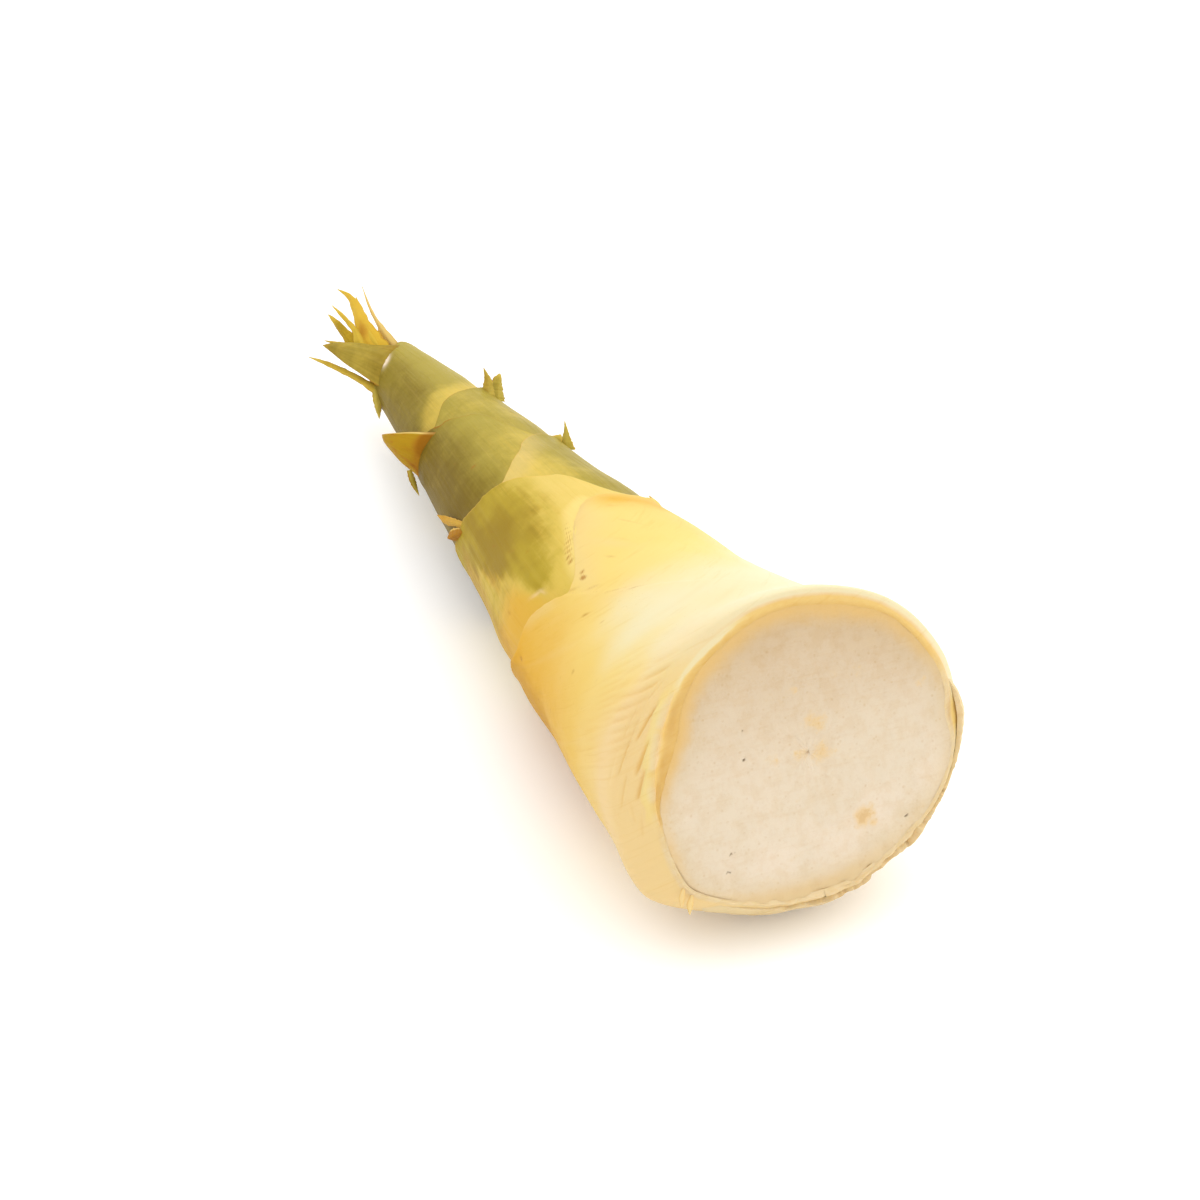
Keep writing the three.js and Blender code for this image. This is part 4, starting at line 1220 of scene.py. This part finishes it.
class Finish:
    """One material and its nodes."""

    def __init__(self, name, constants):
        self.material = bpy.data.materials.new(name)
        self.material.use_nodes = True
        self.tree = self.material.node_tree
        self.shader = self.tree.nodes["Principled BSDF"]
        for socket, value in constants.items():
            self.shader.inputs[socket].default_value = value

    def node(self, kind, settings, inputs):
        """A node with its settings made first, then the values or links of its sockets."""
        made = self.tree.nodes.new(kind)
        for key, value in settings.items():
            setattr(made, key, value)
        for key, value in inputs.items():
            self.feed(made.inputs[key], value)
        return made

    def feed(self, socket, value):
        """Links a signal or socket to a socket, or sets the socket to a value."""
        value = getattr(value, "socket", value)
        if isinstance(value, bpy.types.NodeSocket):
            self.tree.links.new(value, socket)
        elif socket.type == "RGBA":
            socket.default_value = (*value, 1)
        else:
            socket.default_value = value

    def attribute(self, name):
        """One of the piece's masks."""
        made = self.node("ShaderNodeAttribute", {"attribute_name": name}, {})
        return Signal(self, made.outputs["Fac"])

    def vector_attribute(self, name):
        """The same for a vector that the piece has at each point."""
        return self.node("ShaderNodeAttribute", {"attribute_name": name}, {}).outputs["Vector"]

    def place(self):
        """Object coordinates, in metres."""
        return self.node("ShaderNodeTexCoord", {}, {}).outputs["Object"]

    def scaled(self, vector, by):
        """A vector with each part multiplied."""
        return self.node("ShaderNodeVectorMath", {"operation": "MULTIPLY"}, {0: vector, 1: by}).outputs[0]

    def noise(self, vector, scale, detail, rough, distortion=0.0):
        """Soft random values, mostly near 0.5."""
        made = self.node("ShaderNodeTexNoise", {}, {"Vector": vector, "Scale": scale, "Detail": detail,
                                                    "Roughness": rough, "Distortion": distortion})
        return Signal(self, made.outputs["Fac"])

    def cells(self, vector, scale):
        """Distance from the nearest of many scattered points."""
        made = self.node("ShaderNodeTexVoronoi", {}, {"Vector": vector, "Scale": scale})
        return Signal(self, made.outputs["Distance"])

    def step(self, signal, low, high):
        """0 at low, 1 at high and smooth between."""
        made = self.node("ShaderNodeMapRange", {"interpolation_type": "SMOOTHSTEP"},
                         {"Value": signal, "From Min": low, "From Max": high, "To Min": 0.0,
                          "To Max": 1.0})
        return Signal(self, made.outputs["Result"])

    def mix(self, factor, first, second):
        """The second colour over the first where the factor says."""
        made = self.node("ShaderNodeMix", {"data_type": "RGBA"}, {0: factor, 6: first, 7: second})
        return made.outputs[2]

    def shade(self, factor, colour, by):
        """The colour multiplied by another where the factor says."""
        made = self.node("ShaderNodeMix", {"data_type": "RGBA", "blend_type": "MULTIPLY"},
                         {0: factor, 6: colour, 7: by})
        return made.outputs[2]

    def bump(self, height):
        """Normal over a height in metres."""
        made = self.node("ShaderNodeBump", {}, {"Height": height, "Distance": 1.0, "Strength": 1.0})
        return made.outputs["Normal"]

    def use(self, colour, roughness, normal):
        """Links what varies to the shader and gives the finished material."""
        self.feed(self.shader.inputs["Base Color"], colour)
        self.feed(self.shader.inputs["Roughness"], roughness)
        self.feed(self.shader.inputs["Normal"], normal)
        return self.material


SOFT_SKIN = {"Subsurface Weight": 0.08, "Subsurface Radius": (0.003, 0.002, 0.0008),
             "Subsurface Scale": 1.0, "Specular IOR Level": 0.02}
# What the skin is multiplied by in its fibres, furrows, specks and dark marks.
FIBRE_SHADE = (0.92, 0.84, 0.66)
# In the furrows this is painted shade.
FURROW_PAINTED_SHADE = (0.91, 0.76, 0.5)
SPECK_SHADE = (0.75, 0.6, 0.4)
MARK_SHADE = (0.72, 0.6, 0.4)
# The same for the cut wall's mottling and fibres.
CUT_MOTTLE_SHADE = (0.97, 0.9, 0.76)
CUT_FIBRE_SHADE = (0.93, 0.82, 0.62)


def sheath_finish(name, tones, dry_line):
    """Skin of a sheath: fibres, specks, green and gold patches, dried margin and cut wall."""
    finish = Finish(name, SOFT_SKIN)
    grain = finish.vector_attribute("grain")
    place = finish.place()
    fibre = finish.noise(grain, 1.1, 4.0, 0.6)
    coarse_fibre = finish.noise(grain, 0.28, 2.0, 0.5)
    cloud = finish.noise(place, 55.0, 3.0, 0.55)
    mottle = finish.noise(place, 260.0, 3.0, 0.65, 0.4)
    specks = finish.cells(place, 700.0)
    young = finish.attribute("young")
    deep = finish.attribute("deep")
    pale = finish.attribute("pale")
    mark = finish.attribute("mark")
    groove = finish.attribute("groove")
    edge = finish.attribute("edge") * EDGE_SHOWN
    cut = finish.attribute("cut")

    colour = finish.mix(finish.step(deep + (cloud - 0.5) * 0.25, 0.0, 1.1), tones["middle"], tones["deep"])
    colour = finish.mix(finish.step(pale + (cloud - 0.5) * 0.4, 0.1, 0.95), colour, tones["pale"])
    green = young + (cloud - 0.5) * 0.5 + (mottle - 0.5) * 0.45 + (fibre - 0.5) * 0.35
    green = finish.step(green, 0.1, 0.95)
    dark_green = deep + (mottle - 0.5) * 0.4 + (fibre - 0.5) * 0.28 + (cloud - 0.5) * 0.4
    dark_green = finish.step(dark_green, 0.0, 1.05)
    green_colour = finish.mix(dark_green, tones["young"], tones["dark"])
    colour = finish.mix(green, colour, green_colour)
    colour = finish.mix(finish.attribute("tan") * 0.85, colour, tones["tan"])
    colour = finish.shade(finish.step(fibre, 0.46, 0.26) * 0.4, colour, FIBRE_SHADE)
    colour = finish.mix(finish.step(coarse_fibre, 0.55, 0.8) * 0.07, colour, tones["pale"])
    # Painted shade in the furrows and grooves, over their real relief.
    colour = finish.shade(groove * 0.85, colour, FURROW_PAINTED_SHADE)
    specked = finish.step(specks, 0.16, 0.05) * finish.step(cloud, 0.5, 0.62)
    colour = finish.shade(specked * 0.35, colour, SPECK_SHADE)
    colour = finish.mix(finish.step(mark + (mottle - 0.5) * 0.6, 0.12, 0.9) * 0.6, colour, tones["dry"])
    colour = finish.shade(finish.step(mark, 0.7, 1.2) * 0.6, colour, MARK_SHADE)
    edge_here = edge + (mottle - 0.5) * 0.5
    colour = finish.mix(finish.step(edge_here, 0.5, 0.12) * dry_line, colour, tones["line"])
    raw = finish.mix(deep, tones["cut"], tones["tint"])
    raw = finish.mix(finish.attribute("tan"), raw, tones["raw"])
    raw = finish.mix(pale * 0.85, raw, tones["ridge"])
    raw = finish.shade(finish.step(mottle, 0.4, 0.7) * 0.6, raw, CUT_MOTTLE_SHADE)
    raw = finish.shade(finish.step(fibre, 0.5, 0.3) * 0.3, raw, CUT_FIBRE_SHADE)
    raw = finish.mix(mark * 0.8, raw, tones["dry"])
    colour = finish.mix(cut, colour, raw)

    roughness = 0.4 + (cloud - 0.5) * 0.15 + finish.step(edge_here, 0.8, 0.1) * 0.15 + cut * 0.15
    height = fibre * 0.00014 + mottle * 0.00005 + coarse_fibre * 0.00008
    return finish.use(colour, roughness, finish.bump(height))


MOIST_FLESH = {"Subsurface Weight": 0.12, "Subsurface Radius": (0.004, 0.003, 0.002),
               "Subsurface Scale": 1.0, "Specular IOR Level": 0.25}
# What the cut face is multiplied by in its mottles, saw marks, bundles, grain, rim and flecks.
MOTTLE_SHADE = (0.95, 0.89, 0.8)
SAWN_SHADE = (0.94, 0.88, 0.8)
BUNDLE_SHADE = (0.86, 0.76, 0.62)
GRAIN_SHADE = (0.93, 0.88, 0.82)
RIM_SHADE = (0.955, 0.925, 0.84)
FLECK_SHADE = (0.8, 0.66, 0.45)
SAW_STRETCH = (120.0, 90.0, 900.0)  # how much finer the saw marks are along x, y and z


def flesh_finish(colours):
    """Cut face of the culm: moist, finely speckled, golden toward the rim."""
    finish = Finish("cut_flesh", MOIST_FLESH)
    place = finish.place()
    rim = finish.attribute("rim")
    fleck = finish.attribute("fleck")
    torn = finish.attribute("torn")
    cloud = finish.noise(place, 45.0, 3.0, 0.5)
    grainy = finish.noise(place, 900.0, 2.0, 0.7)
    middling = finish.noise(place, 260.0, 4.0, 0.65)
    sawn = finish.noise(finish.scaled(place, SAW_STRETCH), 1.0, 3.0, 0.6)
    bundles = finish.cells(place, 520.0)
    split = finish.node("ShaderNodeSeparateXYZ", {}, {0: place})
    height = Signal(finish, split.outputs["Z"])

    upward = finish.step(height + (cloud - 0.5) * 0.03, 0.036, 0.09)
    colour = finish.mix(upward, tuple(colours.flesh), tuple(colours.flesh_top))
    low = finish.step(height + (cloud - 0.5) * 0.03, 0.07, 0.03)
    colour = finish.mix(finish.step(cloud, 0.42, 0.66) * low * 0.6, colour, tuple(colours.flesh_pale))
    colour = finish.shade(finish.step(middling, 0.58, 0.36) * 0.55, colour, MOTTLE_SHADE)
    colour = finish.shade(finish.step(sawn, 0.5, 0.32) * 0.3, colour, SAWN_SHADE)
    bundled = finish.step(bundles, 0.28, 0.08) * finish.step(grainy, 0.36, 0.62)
    colour = finish.shade(bundled * 0.5, colour, BUNDLE_SHADE)
    colour = finish.shade(finish.step(grainy, 0.5, 0.3) * 0.3, colour, GRAIN_SHADE)
    wide = finish.step(rim + (cloud - 0.5) * 1.6 + (middling - 0.5) * 0.8, 3.2, 0.6)
    colour = finish.shade(wide * 0.85, colour, RIM_SHADE)
    band = finish.step(rim + (cloud - 0.5) * 0.7 + (middling - 0.5) * 0.5, 1.45, -0.05)
    colour = finish.mix(band * finish.attribute("gold"), colour, tuple(colours.tint))
    patchy = finish.step(fleck + (middling - 0.5) * 2.2, 0.35, 1.1)
    colour = finish.mix(patchy * 0.65, colour, tuple(colours.fleck))
    dark = finish.step(fleck + (middling - 0.5) * 3.0, 0.95, 1.4)
    colour = finish.shade(dark * 0.5, colour, FLECK_SHADE)
    frayed = finish.step(torn + (middling - 0.5) * 1.6 + (cloud - 0.5) * 1.2, 0.1, 1.2)
    colour = finish.mix(frayed * 0.75, colour, tuple(colours.torn_flesh))
    pitted = finish.step(finish.attribute("pit"), 0.25, 0.6)
    colour = finish.mix(pitted * 0.8, colour, tuple(colours.pit))
    roughness = 0.5 + (grainy - 0.5) * 0.3
    relief = grainy * 0.0001 + middling * 0.00012 + sawn * 0.00006
    return finish.use(colour, roughness, finish.bump(relief))


# ---- Operators -----------------------------------------------------------------------------------------


def clear_piece(name):
    """Removes an earlier piece of that name, so that a step can be run again."""
    old = bpy.data.objects.get(name)
    if old:
        bpy.data.objects.remove(old)


class MakeCulm(bpy.types.Operator):
    """Make the solid culm with its cut face."""

    bl_idname = "object.shoot_culm"
    bl_label = "Culm"

    def execute(self, context):
        clear_piece("culm_flesh")
        piece = make_culm(context.scene.shoot_sizes)
        finish_piece(piece, flesh_finish(context.scene.shoot_colours), ["culm"])
        return {"FINISHED"}


# The colour that each tone of a sheath's finish takes, and what the sheaths change in that.
TONES = {"middle": "straw", "deep": "blade", "pale": "yellow", "tan": "tan", "young": "olive",
         "dark": "dark_olive", "dry": "dry", "cut": "cortex", "raw": "torn", "ridge": "ridge",
         "tint": "tint", "line": "dry"}
SHEATH_TONES = (
    {"line": "line", "middle": "yellow", "deep": "gold", "pale": "cream", "young": "bronze",
     "dark": "bronze"},
    {"line": "line", "deep": "ochre", "young": "moss", "dark": "dark_moss"},
    {"line": "line"},
    {},
    {},
    {"tan": "scar"},
)
COLLAR_TONES = {**SHEATH_TONES[0], "cut": "torn", "tan": "torn"}
LEAF_TONES = {"middle": "leaf", "deep": "leaf_orange", "young": "leaf_green"}


def tones_from(colours, changes):
    """Colours of a finish."""
    return {tone: tuple(getattr(colours, colour)) for tone, colour in {**TONES, **changes}.items()}


class MakeSheaths(bpy.types.Operator):
    """Make the six overlapping sheaths with their blades."""

    bl_idname = "object.shoot_sheaths"
    bl_label = "Sheaths"

    def execute(self, context):
        for index, sheath in enumerate(SHEATHS):
            clear_piece(sheath["name"] + "_wrap")
            piece = make_sheath(index, context.scene.shoot_sizes)
            tones = tones_from(context.scene.shoot_colours, SHEATH_TONES[index])
            material = sheath_finish(sheath["name"] + "_skin", tones, 0.55 if index else 0.35)
            finish_piece(piece, material, [sheath["name"]])
        return {"FINISHED"}


class MakeCollar(bpy.types.Operator):
    """Make the torn remnant of a lower sheath beside the cut."""

    bl_idname = "object.shoot_collar"
    bl_label = "Torn collar"

    def execute(self, context):
        clear_piece("torn_collar")
        material = sheath_finish("torn_fibres", tones_from(context.scene.shoot_colours, COLLAR_TONES), 0.2)
        finish_piece(make_collar(), material, ["base_collar"])
        return {"FINISHED"}


class MakeLeaves(bpy.types.Operator):
    """Make the free leaves at the tip and the long side blade."""

    bl_idname = "object.shoot_leaves"
    bl_label = "Tip leaves"

    def execute(self, context):
        material = sheath_finish("leaf_skin", tones_from(context.scene.shoot_colours, LEAF_TONES), 0.4)
        for number, spec in enumerate(LEAVES):
            clear_piece(spec["name"] + "_strip")
            piece = make_strip(spec["name"] + "_strip", spec, number)
            finish_piece(piece, material, [spec["name"]])
        return {"FINISHED"}


# ---- Stage ---------------------------------------------------------------------------------------------

CAMERA_PLACE = (-0.69103, 0.29355, 0.47835)
CAMERA_RIGHT = (-0.4055, -0.9141, 0.0)
CAMERA_UP = (0.4863, -0.2157, 0.8468)
CAMERA_LENS = 94.28  # millimetres
SENSOR = 36  # millimetres
LIGHT_FROM = (0.3, -0.55, 1.1)
# Strength of the dome's light away from the side it comes from, and on it.
SHADY_SIDE, BRIGHT_SIDE = 0.75, 1.62
# The floor glows faintly from itself: a painted glow that lightens the shadows on it.
FLOOR_CARD = {"Roughness": 0.55, "Specular IOR Level": 0.2, "Emission Strength": 0.1,
              "Emission Color": (1, 1, 1, 1)}


def make_floor(scene):
    """The plain floor that the shoot lies on."""
    bpy.ops.object.select_all(action="DESELECT")
    bpy.ops.mesh.primitive_plane_add(size=scene.shoot_sizes.floor)
    floor = bpy.context.object
    floor.name = floor.data.name = "floor"
    finish = Finish("floor_card", FLOOR_CARD)
    faint = finish.noise(finish.place(), 30.0, 2.0, 0.5)
    colour = finish.mix(faint * 0.02, tuple(scene.shoot_colours.floor), (0.9, 0.9, 0.9))
    finish.feed(finish.shader.inputs["Base Color"], colour)
    floor.data.materials.append(finish.material)


def make_sky(scene):
    """A white dome, brighter on the side the light comes from."""
    world = bpy.data.worlds.new("studio_dome")
    scene.world = world
    world.use_nodes = True
    nodes, links = world.node_tree.nodes, world.node_tree.links
    background = nodes["Background"]
    direction = nodes.new("ShaderNodeTexCoord").outputs["Generated"]
    toward = nodes.new("ShaderNodeVectorMath")
    toward.operation = "DOT_PRODUCT"
    toward.inputs[1].default_value = Vector(LIGHT_FROM).normalized()
    links.new(direction, toward.inputs[0])
    spread = nodes.new("ShaderNodeMapRange")
    spread.interpolation_type = "SMOOTHSTEP"
    spread.inputs["From Min"].default_value = -0.5
    spread.inputs["From Max"].default_value = 1.0
    spread.inputs["To Min"].default_value = SHADY_SIDE
    spread.inputs["To Max"].default_value = BRIGHT_SIDE
    links.new(toward.outputs["Value"], spread.inputs["Value"])
    links.new(spread.outputs["Result"], background.inputs["Strength"])
    background.inputs["Color"].default_value = (1, 1, 1, 1)


def make_camera(scene):
    """The camera, high before the cut end and a little to its left."""
    right, up = Vector(CAMERA_RIGHT), Vector(CAMERA_UP)
    back = right.cross(up)
    data = bpy.data.cameras.new("camera")
    data.lens = CAMERA_LENS
    data.sensor_width = SENSOR
    data.clip_start, data.clip_end = 0.01, 50
    camera = bpy.data.objects.new("camera", data)
    scene.collection.objects.link(camera)
    turn = Matrix((right, up, back)).transposed().to_4x4()
    camera.matrix_world = Matrix.Translation(CAMERA_PLACE) @ turn
    scene.camera = camera


class SetStage(bpy.types.Operator):
    """Lay the floor, light the scene and place the camera."""

    bl_idname = "object.shoot_stage"
    bl_label = "Stage"

    def execute(self, context):
        clear_piece("floor")
        clear_piece("camera")
        make_floor(context.scene)
        make_sky(context.scene)
        make_camera(context.scene)
        context.scene.view_settings.view_transform = "Standard"
        return {"FINISHED"}


# ---- Panel and running ---------------------------------------------------------------------------------

STEPS = (MakeCulm, MakeSheaths, MakeCollar, MakeLeaves, SetStage)


class ShootPanel(bpy.types.Panel):
    """Sizes, colours and steps of the bamboo shoot."""

    bl_idname = "VIEW3D_PT_shoot"
    bl_label = "Bamboo shoot"
    bl_space_type = "VIEW_3D"
    bl_region_type = "UI"
    bl_category = "Shoot"

    def draw(self, context):
        """Lists the sizes, the colours and the steps."""
        for group in (context.scene.shoot_sizes, context.scene.shoot_colours):
            box = self.layout.box()
            for key in group.bl_rna.properties.keys():
                if key not in ("rna_type", "name"):
                    box.prop(group, key)
        for made in STEPS:
            self.layout.operator(made.bl_idname)


CLASSES = (ShootSizes, ShootColours, *STEPS, ShootPanel)


def register():
    for made in CLASSES:
        bpy.utils.register_class(made)
    bpy.types.Scene.shoot_sizes = bpy.props.PointerProperty(type=ShootSizes)
    bpy.types.Scene.shoot_colours = bpy.props.PointerProperty(type=ShootColours)


def unregister():
    del bpy.types.Scene.shoot_colours
    del bpy.types.Scene.shoot_sizes
    for made in reversed(CLASSES):
        bpy.utils.unregister_class(made)


def main():
    """Makes the whole model."""
    register()
    for made in STEPS:
        category, name = made.bl_idname.split(".")
        getattr(getattr(bpy.ops, category), name)()


if __name__ == "__main__":
    main()
